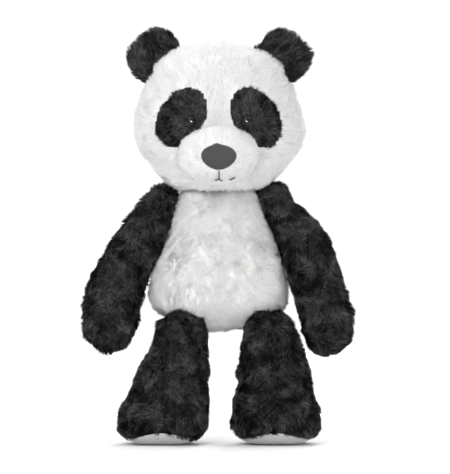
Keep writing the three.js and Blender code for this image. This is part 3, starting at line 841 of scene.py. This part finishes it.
MUZZLE_CENTRE = Vector((0, -45 * MM, 246.5 * MM))
MUZZLE_HALF = Vector((32.5 * MM, 26 * MM, 24.5 * MM))
PATCH_CENTRE = (31 * MM, 277 * MM)
PATCH_HALF = (26 * MM, 19 * MM)
PATCH_TILT = 0.55
EYE_PLACE = (24 * MM, 273.5 * MM)
PILE_SPLIT = 3 * MM  # the front pile ends and the back pile starts at this depth
PATCH_CLOTH, PATCH_GAP = 1.07, 1.03  # how far the patch's cloth goes, and where white pile starts
MUZZLE_INSET = 0.97  # pile starts this far out from the muzzle's middle, just inside its rim


def patch_reach(points, side):
    """Below 1 inside the eye patch of a side, and above 1 outside it."""
    u, w = points[:, 0] - side * PATCH_CENTRE[0], points[:, 2] - PATCH_CENTRE[1]
    turn = PATCH_TILT * side
    along = w * math.cos(turn) - u * math.sin(turn)
    across = u * math.cos(turn) + w * math.sin(turn)
    oval = np.hypot(along / PATCH_HALF[0], across / PATCH_HALF[1])
    return oval + 0.03 * ripple(points, 22 * MM, 70 + side)


def muzzle_reach(points):
    """Below 1 inside the muzzle's ball."""
    return np.linalg.norm((points - np.array(MUZZLE_CENTRE)) / np.array(MUZZLE_HALF), axis=1)


def from_nose(points, normals):
    """Face pile grows away from the nose and parts round the eye patches."""
    away = points - np.array([0, MUZZLE_CENTRE.y, MUZZLE_CENTRE.z])
    flow = unit(away) * 1.3 + [0, 0.7, -0.1]
    for side in SIDES.values():
        out = points - np.array([side * PATCH_CENTRE[0], 0, PATCH_CENTRE[1]])
        out[:, 1] = 0
        near = np.clip(1.7 - patch_reach(points, side), 0, 1) * (points[:, 1] < 0)
        flow += 1.8 * unit(out) * near[:, None]
    return flow


def on_face(points, normals):
    """The face panel, but for the eye patches and the muzzle."""
    front = points[:, 1] < PILE_SPLIT
    clear = (patch_reach(points, 1) > PATCH_GAP) & (patch_reach(points, -1) > PATCH_GAP)
    return front & (clear | (points[:, 1] > 0)) & (muzzle_reach(points) > MUZZLE_INSET)


def on_back(points, normals):
    """The head's back panel."""
    return points[:, 1] >= PILE_SPLIT


head_pieces = [
    grow_pile("face_pile", head, WHITE_PILE, 6.5 * MM, from_nose, on_face, seed=11),
    grow_pile("head_back_pile", head, WHITE_PILE, 6.5 * MM, downwards, on_back, seed=12),
]
for thing in [head, *head_pieces]:
    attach(thing, "head")
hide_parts("head_face_panel", "head_back_panel", "head_stuffing", "neck_wad")

# %% [markdown]
# The eye patches are black plush sewn on the face. Each takes its shape from the head's skin, and
# its pile is shorter and denser than the head's, with a bare spot where the eye goes in.

# %% Eye patches
EYE_CLEARING = 3.6 * MM

for name, side in SIDES.items():

    def inside_patch(points, normals):
        """The eye patch, but for the muzzle and the eye."""
        patch = (patch_reach(points, side) <= 1) & (points[:, 1] < 0)
        from_eye = np.hypot(points[:, 0] - side * EYE_PLACE[0], points[:, 2] - EYE_PLACE[1])
        return patch & (muzzle_reach(points) > MUZZLE_INSET) & (from_eye > EYE_CLEARING)

    points, normals = vertices_of(head)
    covered = (patch_reach(points, side) < PATCH_CLOTH) & (points[:, 1] < 0)
    patch = sewn_on(f"{name}_eye_patch_skin", head, covered)
    pile = grow_pile(f"{name}_eye_patch_pile", head, BLACK_PILE, 4.8 * MM, from_nose,
                     inside_patch, density=2.0, seed=20 + side, swirl=0.35)
    for thing in (patch, pile):
        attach(thing, "head")
    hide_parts(f"{name}_eye_patch")

# %% [markdown]
# ## Muzzle, nose and mouth
# The muzzle is a small padded ball of short white pile. The nose is a brushed cloth patch with a
# little padding, and the mouth is a few stitches of black thread pulled into the pile.

# %% Muzzle
sphere = bmesh.new()
bmesh.ops.create_uvsphere(sphere, u_segments=64, v_segments=40, radius=1)
muzzle_mesh = bpy.data.meshes.new("muzzle_skin")
sphere.to_mesh(muzzle_mesh)
sphere.free()
muzzle = placed("muzzle_skin", muzzle_mesh)
muzzle_mesh.transform(Matrix.LocRotScale(MUZZLE_CENTRE, None, MUZZLE_HALF))
muzzle_mesh.materials.append(WHITE_CLOTH)
muzzle_mesh.shade_smooth()
make_lumpy(muzzle, seed=8, soft=0.6 * MM, small=0.3 * MM)
NOSE_CENTRE = Vector((0, 0, 244.5 * MM))
NOSE_HALF = (15 * MM, 11.5 * MM)


MUZZLE_SUNK = 14 * MM  # behind its middle by this much, the muzzle is inside the head


def muzzle_front(points, normals):
    """The part of the muzzle that stands out of the head, but for what the nose covers."""
    across, up = points[:, 0] / NOSE_HALF[0], (points[:, 2] - NOSE_CENTRE.z) / NOSE_HALF[1]
    beside_nose = (np.hypot(across, up) > 0.8) | (points[:, 1] > MUZZLE_CENTRE.y)
    return (points[:, 1] < MUZZLE_CENTRE.y + MUZZLE_SUNK) & beside_nose


def from_nose_tip(points, normals):
    """Muzzle pile grows away from a point in front of the nose, and a little down."""
    away = points - np.array([0, MUZZLE_CENTRE.y - 30 * MM, NOSE_CENTRE.z + 4 * MM])
    return unit(away) + [0, 0, -0.15]


muzzle_pile = grow_pile("muzzle_pile", muzzle, WHITE_PILE, 4.6 * MM, from_nose_tip, muzzle_front,
                        density=1.9, lean=1.0, seed=31, swirl=0.45)
for thing in (muzzle, muzzle_pile):
    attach(thing, "head")
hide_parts("muzzle_panel", "muzzle_stuffing")


# %% [markdown]
# The nose is a shallow pillow of brushed cloth. It is built as rings that follow the muzzle's ball
# and puff out towards the middle, so its edge sits close however the muzzle's size is changed.

# %% Nose
def nose_edge(turn):
    """The nose's outline: a wide soft triangle with a low peak on top, round at the foot."""
    x, z = math.cos(turn), math.sin(turn)
    width = 1.0 - 0.2 * max(0, -z) ** 2
    peak = 0.12 * math.exp(-(((x + 0.12) / 0.2) ** 2)) if z > 0 else 0
    flat = 0.8 if z > 0 else 1.05
    return x * width * NOSE_HALF[0], (z * flat + peak) * NOSE_HALF[1]


def on_muzzle(x, z, lift):
    """How far forward the muzzle's surface stands at (x, z), once it is grown by a lift."""
    half = MUZZLE_HALF + Vector((lift, lift, lift))
    share = 1 - (x / half.x) ** 2 - ((z - MUZZLE_CENTRE.z) / half.z) ** 2
    return MUZZLE_CENTRE.y - half.y * math.sqrt(max(share, 0.02))


NOSE_RINGS, NOSE_SIDES = 16, 72
NOSE_LIFT, NOSE_PUFF = 1.2 * MM, 3.4 * MM
nose_points, nose_faces = [], []
for i in range(1, NOSE_RINGS + 1):
    share = i / NOSE_RINGS
    for j in range(NOSE_SIDES):
        x, z = nose_edge(j / NOSE_SIDES * 2 * math.pi)
        x, z = x * share, z * share + NOSE_CENTRE.z
        puff = NOSE_PUFF * math.sqrt(max(0.0, 1 - share**2.6))
        nose_points.append((x, on_muzzle(x, z, NOSE_LIFT + puff), z))
rim = len(nose_points) - NOSE_SIDES
for j in range(NOSE_SIDES):
    x, y, z = nose_points[rim + j]
    nose_points.append((x * 0.98, y + 2.4 * MM, NOSE_CENTRE.z + (z - NOSE_CENTRE.z) * 0.98))
nose_points.append((0, on_muzzle(0, NOSE_CENTRE.z, NOSE_LIFT + NOSE_PUFF), NOSE_CENTRE.z))
nose_points.append((0, on_muzzle(0, NOSE_CENTRE.z, -1.5 * MM), NOSE_CENTRE.z))
front, back = len(nose_points) - 2, len(nose_points) - 1
for j in range(NOSE_SIDES):
    k = (j + 1) % NOSE_SIDES
    nose_faces.append((front, j, k))
    for i in range(NOSE_RINGS):
        a, b = i * NOSE_SIDES, (i + 1) * NOSE_SIDES
        nose_faces.append((a + j, b + j, b + k, a + k))
    nose_faces.append((NOSE_RINGS * NOSE_SIDES + j, back, NOSE_RINGS * NOSE_SIDES + k))
nose = mesh_object("nose_cloth", nose_points, nose_faces, NOSE_CLOTH)
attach(nose, "head")
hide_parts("nose")


# %% [markdown]
# The mouth is a few long stitches of thread. Each is a curve with a round section, laid on the
# muzzle at the height of its pile, and all of them become one mesh.

# %% Mouth
THREAD_RADIUS = 0.55 * MM


def stitch(points):
    """A thread along points, as a closed tube."""
    curve = bpy.data.curves.new("stitch", "CURVE")
    curve.dimensions = "3D"
    curve.bevel_depth = THREAD_RADIUS
    curve.bevel_resolution = 2
    curve.resolution_u = 6
    curve.use_fill_caps = True
    spline = curve.splines.new("BEZIER")
    spline.bezier_points.add(len(points) - 1)
    for knot, point in zip(spline.bezier_points, points):
        knot.co = point
        knot.handle_left_type = knot.handle_right_type = "AUTO"
    return placed("stitch", curve)


MOUTH_TOP = NOSE_CENTRE.z - NOSE_HALF[1] - 1.5 * MM
MOUTH_DROP = 6.5  # in millimetres
MOUTH_LIFT = 2.9 * MM
MOUTH_LOW = MOUTH_TOP - MOUTH_DROP * MM
STITCHES = [  # across, and above the mouth's low point, in millimetres
    [(0.3, MOUTH_DROP * share) for share in (1, 0.65, 0.3, 0)],  # straight down from the nose
    [(-3, -1.1), (-1.5, -0.7), (0.2, 0)],
    [(0.4, 0), (1.6, -0.9), (3, -1.6)],
    [(9, -0.8), (11.5, 0.2), (14, 1.2)],  # the corner of the smile
]
strokes = []
for line in STITCHES:
    places = [(x * MM, MOUTH_LOW + z * MM) for x, z in line]
    strokes.append(stitch([(x, on_muzzle(x, z, MOUTH_LIFT), z) for x, z in places]))
bpy.context.view_layer.update()
meshes = []
for stroke in strokes:
    meshes.append(bpy.data.meshes.new_from_object(stroke))
    bpy.data.objects.remove(stroke)
joined = bmesh.new()
for mesh in meshes:
    joined.from_mesh(mesh)
mouth_mesh = bpy.data.meshes.new("mouth_stitches")
joined.to_mesh(mouth_mesh)
joined.free()
mouth_mesh.materials.clear()
mouth_mesh.materials.append(THREAD)
mouth = placed("mouth_stitches", mouth_mesh)
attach(mouth, "head")
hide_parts("mouth_stitching")
print("stitches", len(strokes))


# %% [markdown]
# ## Eyes
# Safety eyes are black plastic domes on a shank. A turned profile with a rounded rim gives a
# dome that takes a clean highlight, and a washer inside the head holds the shank.

# %% Eyes
def turned_profile(name, profile, material):
    """A solid of revolution about its own Z from (radius, height) points on the axis at ends."""
    segments = 40
    points, faces = [], []
    for radius, height in profile[1:-1]:
        for j in range(segments):
            angle = j / segments * 2 * math.pi
            points.append((radius * math.cos(angle), radius * math.sin(angle), height))
    points.append((0, 0, profile[0][1]))
    points.append((0, 0, profile[-1][1]))
    low, high, rows = len(points) - 2, len(points) - 1, len(profile) - 2
    for j in range(segments):
        k = (j + 1) % segments
        faces.append((low, k, j))
        faces.append((high, (rows - 1) * segments + j, (rows - 1) * segments + k))
        for i in range(rows - 1):
            a, b = i * segments, (i + 1) * segments
            faces.append((a + j, a + k, b + k, b + j))
    return mesh_object(name, points, faces, material)


EYE_RADIUS, EYE_HEIGHT, SHANK_RADIUS, SHANK_LENGTH = 4.8 * MM, 3.6 * MM, 1.6 * MM, 14 * MM
EYE_TURN, EYE_TILT = 0.27, 0.08  # how far the eyes look outwards and up
RIM_STEPS = 14
eye_profile = [(0, -SHANK_LENGTH), (SHANK_RADIUS * 0.8, -SHANK_LENGTH)]
eye_profile += [(SHANK_RADIUS, -SHANK_LENGTH + 0.5 * MM), (SHANK_RADIUS, -0.4 * MM)]
eye_profile += [(EYE_RADIUS * 0.94, -0.4 * MM), (EYE_RADIUS, 0)]
for k in range(1, RIM_STEPS):
    angle = k / RIM_STEPS * math.pi / 2
    eye_profile.append((EYE_RADIUS * math.cos(angle), EYE_HEIGHT * math.sin(angle)))
eye_profile.append((0, EYE_HEIGHT))
for name, side in SIDES.items():
    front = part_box(f"{name}_eye")[0].y
    eye = turned_profile(f"{name}_eye_dome", eye_profile, EYE_PLASTIC)
    turn = EYE_TURN * side
    outward = Vector((math.sin(turn), -math.cos(turn), EYE_TILT)).normalized()
    seat = Vector((side * EYE_PLACE[0], front + EYE_HEIGHT + 0.6 * MM, EYE_PLACE[1]))
    turn = outward.to_track_quat("Z", "Y").to_matrix().to_4x4()
    eye.data.transform(Matrix.Translation(seat) @ turn)
    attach(eye, "head")
    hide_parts(f"{name}_eye")
    washer = frame["nodes"][f"{name}_eye_washer"]
    washer.data.materials.clear()
    washer.data.materials.append(WASHER_PLASTIC)
print("eyes", 2 * EYE_RADIUS / MM, "mm across")

# %% [markdown]
# ## Ears
# Each ear is two black plush petals with a thin filling, pinched along the seam on the crown and
# cupped a little forwards.

# %% Ears
EAR_LEAN = 0.74
EAR_CUP = 7.0  # how much the ear's edges curl forwards, per metre
EAR_ROWS = [(-6, 0, 0, 19, 3.4), (4, 0, 0, 22.5, 4.6), (14, 0, 0, 24, 5.8), (22, 0, 0, 21.5, 5.6)]
for name, side in SIDES.items():
    points, faces = stacked_skin(EAR_ROWS, -9, 32.5, sides=48)
    points[:, 1] -= EAR_CUP * points[:, 0] ** 2
    ear = mesh_object(f"{name}_ear_skin", points, faces, BLACK_CLOTH)
    root = PIVOT[f"{name}_ear_flex"]
    ear.data.transform(Matrix.Translation(root) @ Matrix.Rotation(EAR_LEAN * side, 4, "Y"))
    stuff(ear, voxel=2.5 * MM, most=1.5 * MM)
    make_lumpy(ear, seed=40 + side, soft=0.7 * MM, small=0.4 * MM)
    outwards = np.array([math.sin(EAR_LEAN * side), 0, math.cos(EAR_LEAN)])

    def tipwards(points, normals):
        """Ear pile is brushed from the seam to the ear's tip."""
        return np.tile(outwards * 0.9, (len(points), 1))

    pile = grow_pile(f"{name}_ear_pile", ear, BLACK_PILE, 6.5 * MM, tipwards, density=1.7,
                     seed=44 + side)
    for thing in (ear, pile):
        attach(thing, f"{name}_ear")
    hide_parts(f"{name}_ear_front", f"{name}_ear_back", f"{name}_ear_filling")

# %% [markdown]
# ## Torso
# A pear-shaped bag. Its white pile lies downwards over the belly, and a black yoke crosses the
# back between the arms.

# %% Torso
TORSO_ROWS = [
    (106, 0, 6, 44, 27), (113, 0, 5, 52, 35), (125, 0, 4, 57, 41), (140, 0, 3, 55, 40.5),
    (157, 0, 2, 50, 38), (180, 0, 1, 43, 33), (198, 0, 0, 37, 29), (210, 0, 0, 33, 26),
]
points, faces = stacked_skin(TORSO_ROWS, 97.5, 224)
torso = mesh_object("torso_skin", points, faces, WHITE_CLOTH)
stuff(torso)
make_lumpy(torso, seed=5, soft=1.4 * MM, small=0.4 * MM)
YOKE_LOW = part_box("back_yoke")[0].z
YOKE_FRONT = 2 * MM  # behind this depth the yoke goes right round
NECK_EDGE, NECK_HEIGHT, SHOULDER_LOW = 27 * MM, 222 * MM, 196 * MM
NECK_FLARE = 0.45  # how fast the shoulders' black edge moves out on its way down


def in_yoke(points):
    """The black band over the upper back and on to the shoulders."""
    across, depth, height = np.abs(points[:, 0]), points[:, 1], points[:, 2]
    behind = (depth > YOKE_FRONT) & (height > YOKE_LOW + 2 * MM * ripple(points, 20 * MM, 9))
    edge = NECK_EDGE + NECK_FLARE * np.maximum(0, NECK_HEIGHT - height)
    return behind | ((across > edge) & (height > SHOULDER_LOW))


def on_belly(points, normals):
    """The torso's white front."""
    return ~in_yoke(points) & (points[:, 1] < PILE_SPLIT)


def on_lower_back(points, normals):
    """The torso's white back, under the yoke."""
    return ~in_yoke(points) & (points[:, 1] >= PILE_SPLIT)


def on_yoke(points, normals):
    """The yoke's own pile."""
    return in_yoke(points)


belly_pile = grow_pile("belly_pile", torso, WHITE_PILE, 6.5 * MM, downwards, on_belly, seed=51,
                       swirl=0.9)
back_pile = grow_pile("back_pile", torso, WHITE_PILE, 6.5 * MM, downwards, on_lower_back, seed=52)
yoke_pile = grow_pile("yoke_pile", torso, BLACK_PILE, 6.5 * MM, downwards, on_yoke, density=1.8,
                      seed=53)
yoke = sewn_on("yoke_skin", torso, in_yoke(vertices_of(torso)[0]))
for thing, finish in ((torso, "white_plush"), (belly_pile, "white_plush"),
                      (back_pile, "white_plush"), (yoke, "black_plush"),
                      (yoke_pile, "black_plush")):
    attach(thing, "torso")
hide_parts("belly_panel", "back_panel", "torso_stuffing", "seat_pellet_bag")
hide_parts("back_yoke")

# %% [markdown]
# ## Arms
# Long soft sausages that hang from the neck, fuller towards the paws where the pellets lie. Near
# the shoulder the cloth bends between the seam and the arm; here each arm is kept where it is made,
# on no moving part.

# %% Arms
ARM_ROWS = [
    (100, 92.5, -6, 22, 20), (120, 89.5, -6, 23, 21), (143, 83.5, -4, 22, 21),
    (165, 74.5, -2, 20.5, 21), (184, 64, 0, 18, 20), (198, 56.5, 0, 16, 18),
    (208, 48.5, 0, 14, 16),
]
ARM_LOW, ARM_HIGH = 78, 222
for name, side in SIDES.items():
    rows = [(z, x * side, y, a, b) for z, x, y, a, b in ARM_ROWS]
    points, faces = stacked_skin(rows, ARM_LOW, ARM_HIGH)
    arm = mesh_object(f"{name}_arm_skin", points, faces, BLACK_CLOTH)
    stuff(arm)
    make_lumpy(arm, seed=60 + side, soft=2.1 * MM, small=1.0 * MM)
    pile = grow_pile(f"{name}_arm_pile", arm, BLACK_PILE, 5.8 * MM, downwards, density=1.8,
                     swirl=1.2, seed=64 + side)
    for thing in (arm, pile):
        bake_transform(thing)
    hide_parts(f"{name}_arm_front", f"{name}_arm_back", f"{name}_arm_stuffing",
                f"{name}_paw_pellet_bag", f"{name}_shoulder_wad")

# %% [markdown]
# ## Legs and soles
# Bell-shaped legs that flare into big feet. A seam runs down the front of each: the skin dips along
# it, and its pile is shorter and painted darker, as painted shade in the seam's groove. The foot
# rests on its sole, so the cloth is kept above it.

# %% Legs
LEG_ROWS = [
    (14, 48, -20, 36, 36), (32, 47.5, -19, 36.5, 33.5), (52, 44.5, -17, 31, 27.5),
    (72, 41.5, -16, 26, 24), (88, 40, -17, 22.5, 22.5), (99, 39, -17, 20, 20.5),
]
LEG_LEAN = 6.5 / 85  # both legs rest a little askew, their tops towards the toy's left
LEG_LOW, LEG_HIGH = -6, 114
SOLE_FLAT_TO, TOE_RADIUS, SOLE_THICK = -23 * MM, 50 * MM, 3 * MM
SOLE_HALF_WIDTH, SIDE_RISE = 31 * MM, 5 * MM
FOOT_MIDDLE = 48.5 * MM
LEG_FOOT = 14  # the height in millimetres of the lowest row, where the lean starts
SEAM_WIDTH, SEAM_DEPTH, SEAM_SPREAD = 2.2 * MM, 2.4 * MM, 4.2 * MM
PAD_EDGE = 0.96  # outside this share of the pad's oval, pile may hang beside the pad
FRINGE_DROP, FLOOR_CLEAR = 1.8 * MM, 0.8 * MM


def sole_height(x, y, middle):
    """How high the sole's outer face lies: flat under the heel, curling up at toe and sides."""
    ahead = np.clip(SOLE_FLAT_TO - y, 0, TOE_RADIUS * 0.98)
    aside = np.abs(x - middle) / SOLE_HALF_WIDTH
    return TOE_RADIUS - np.sqrt(TOE_RADIUS**2 - ahead**2) + SIDE_RISE * aside**4


for name, side in SIDES.items():
    rows = [(z, x * side + LEG_LEAN * (z - LEG_FOOT), y, a, b) for z, x, y, a, b in LEG_ROWS]
    points, faces = stacked_skin(rows, LEG_LOW, LEG_HIGH)
    middle = side * FOOT_MIDDLE
    low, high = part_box(f"{name}_sole")
    pad_centre, pad_half = np.array((low + high) / 2), np.array((high - low) / 2)

    def lift_foot(points):
        """Keeps the leg's cloth just above the sole's pad."""
        floor_line = sole_height(points[:, 0], points[:, 1], middle) + SOLE_THICK * 0.8
        points[:, 2] = np.maximum(points[:, 2], floor_line)

    lift_foot(points)
    leg = mesh_object(f"{name}_leg_skin", points, faces, BLACK_CLOTH)
    stuff(leg)
    make_lumpy(leg, seed=70 + side, soft=1.7 * MM, small=1.0 * MM)
    points, normals = vertices_of(leg)
    seam_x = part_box(f"{name}_leg_outer_panel")[0 if side > 0 else 1].x
    groove = np.exp(-(((points[:, 0] - seam_x) / SEAM_WIDTH) ** 2))
    groove *= points[:, 2] > LEG_FOOT * MM
    points -= normals * (SEAM_DEPTH * groove)[:, None]
    lift_foot(points)
    move_vertices(leg, points)

    def over_sole(points):
        """How far points stand above the sole's outer face."""
        return points[:, 2] - sole_height(points[:, 0], points[:, 1], middle)

    def above_sole(points, normals):
        """Everywhere but under the pad, whose outline is an oval."""
        from_middle = (points - pad_centre) / pad_half
        beside_pad = np.hypot(from_middle[:, 0], from_middle[:, 1]) > PAD_EDGE
        return over_sole(points) > np.where(beside_pad, 0.3, 4.0) * MM

    def fringe(tips):
        """Tips that hang a little over the pad's edge, but don't reach the floor."""
        return (over_sole(tips) > -FRINGE_DROP) & (tips[:, 2] > FLOOR_CLEAR)

    def front_seam(points):
        """1 on the seam, and less away from it."""
        return np.exp(-(((points[:, 0] - seam_x) / SEAM_SPREAD) ** 2))

    pile = grow_pile(f"{name}_leg_pile", leg, BLACK_PILE, 5.8 * MM, downwards, above_sole,
                     density=1.9, seed=74 + side, swirl=1.1, tone=-0.06, seam=front_seam,
                     trim=fringe)
    for thing in (leg, pile):
        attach(thing, f"{name}_leg")
    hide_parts(f"{name}_leg_outer_panel", f"{name}_leg_inner_panel",
                f"{name}_leg_stuffing", f"{name}_foot_pellet_bag", f"{name}_hip_wad")

# %% [markdown]
# A pale suede pad closes each foot, curling up at the toe under a fringe of black pile. It is two
# ovals of rings, under and over, that both follow the sole's curve and meet at a rounded rim.

# %% Soles
SOLE_RINGS, SOLE_SIDES = 20, 80
for name, side in SIDES.items():
    low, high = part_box(f"{name}_sole")
    centre, half = (low + high) / 2, (high - low) / 2
    points, faces = [], []
    for layer in range(2):
        for i in range(1, SOLE_RINGS + 1):
            share = i / SOLE_RINGS
            for j in range(SOLE_SIDES):
                turn = j / SOLE_SIDES * 2 * math.pi
                x = centre.x + half.x * share * math.cos(turn)
                y = centre.y + half.y * share * math.sin(turn)
                edge = SOLE_THICK / 2 * (1 - math.sqrt(max(0.0, 1 - share**8)))
                lift = edge if layer == 0 else SOLE_THICK - edge
                points.append((x, y, sole_height(x, y, centre.x) + lift))
    points += [(centre.x, centre.y, 0), (centre.x, centre.y, SOLE_THICK)]
    under, over = len(points) - 2, len(points) - 1
    shift = SOLE_RINGS * SOLE_SIDES
    for j in range(SOLE_SIDES):
        k = (j + 1) % SOLE_SIDES
        faces.append((under, k, j))
        faces.append((over, shift + j, shift + k))
        for i in range(SOLE_RINGS - 1):
            a, b = i * SOLE_SIDES, (i + 1) * SOLE_SIDES
            faces.append((a + j, a + k, b + k, b + j))
            faces.append((shift + a + j, shift + b + j, shift + b + k, shift + a + k))
        rim = (SOLE_RINGS - 1) * SOLE_SIDES
        faces.append((rim + j, rim + k, shift + rim + k, shift + rim + j))
    sole = mesh_object(f"{name}_sole_pad", points, faces, SUEDE)
    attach(sole, f"{name}_leg")
    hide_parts(f"{name}_sole")
    print(sole.name, len(points), "points")

# %% [markdown]
# ## Tail and label
# The tail is a short round white ball on a narrow seam. It is stacked upright like a limb and
# then laid back, so the same helpers make it.

# %% Tail
root = PIVOT["tail_flex"]
TAIL_ROWS = [(-1, 0, 0, 9.5, 9), (5, 0, 0, 12, 11), (10, 0, 0, 12.5, 11.5)]
points, faces = stacked_skin(TAIL_ROWS, -6, 19.5, sides=40)
tail = mesh_object("tail_skin", points, faces, WHITE_CLOTH)
tail.data.transform(Matrix.Translation(root) @ Matrix.Rotation(-math.pi / 2, 4, "X"))
stuff(tail, voxel=2 * MM, most=1.5 * MM)
make_lumpy(tail, seed=80, soft=0.5 * MM, small=0.3 * MM)


def backwards(points, normals):
    """Tail pile is brushed back, and a little down."""
    return np.tile([0, 0.8, -0.5], (len(points), 1))


tail_pile = grow_pile("tail_pile", tail, WHITE_PILE, 6 * MM, backwards, density=1.8, seed=81)
for thing in (tail, tail_pile):
    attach(thing, "tail")
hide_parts("tail_cover", "tail_stuffing")

# %% [markdown]
# The label is one ribbon, folded once, with both ends caught in the seat seam and nothing printed
# on it. Its section is drawn as a line down, round the fold and up, and then swept across.

# %% Care label
low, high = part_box("care_label")
LABEL_PLY, LABEL_FOLD, LABEL_SUNK = 0.25 * MM, 1.1 * MM, 2.6 * MM
PLY_STEPS, LABEL_CURL = 8, 1.2 * MM
STRAIGHT = 0.94  # how much of the label's height is straight, above the fold
width, height = high.x - low.x, high.z - low.z
middle = (low + high) / 2
profile = []
for k in range(PLY_STEPS + 1):
    profile.append((LABEL_FOLD / 2, height / 2 - height * STRAIGHT * k / PLY_STEPS))
for k in range(1, PLY_STEPS):
    turn = k / PLY_STEPS * math.pi
    below = (STRAIGHT - 0.5) * height + LABEL_FOLD * math.sin(turn)
    profile.append((LABEL_FOLD / 2 * math.cos(turn), -below))
for k in range(PLY_STEPS + 1):
    profile.append((-LABEL_FOLD / 2, height * (STRAIGHT * k / PLY_STEPS - STRAIGHT + 0.5)))
label_points, label_faces = [], []
COLUMNS = 8
for y, z in profile:
    for i in range(COLUMNS + 1):
        x = (i / COLUMNS - 0.5) * width
        curl = LABEL_CURL * math.sin(x / width * 2.4) * (0.5 - z / height)
        label_points.append((middle.x + x, middle.y + y + curl - LABEL_SUNK, middle.z + z))
for r in range(len(profile) - 1):
    for i in range(COLUMNS):
        a = r * (COLUMNS + 1) + i
        label_faces.append((a, a + 1, a + COLUMNS + 2, a + COLUMNS + 1))
label = mesh_object("label_ribbon", label_points, label_faces, LABEL_SATIN)
thick = label.modifiers.new("ply", "SOLIDIFY")
thick.thickness = LABEL_PLY
thick.offset = 0
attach(label, "torso")
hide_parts("care_label")
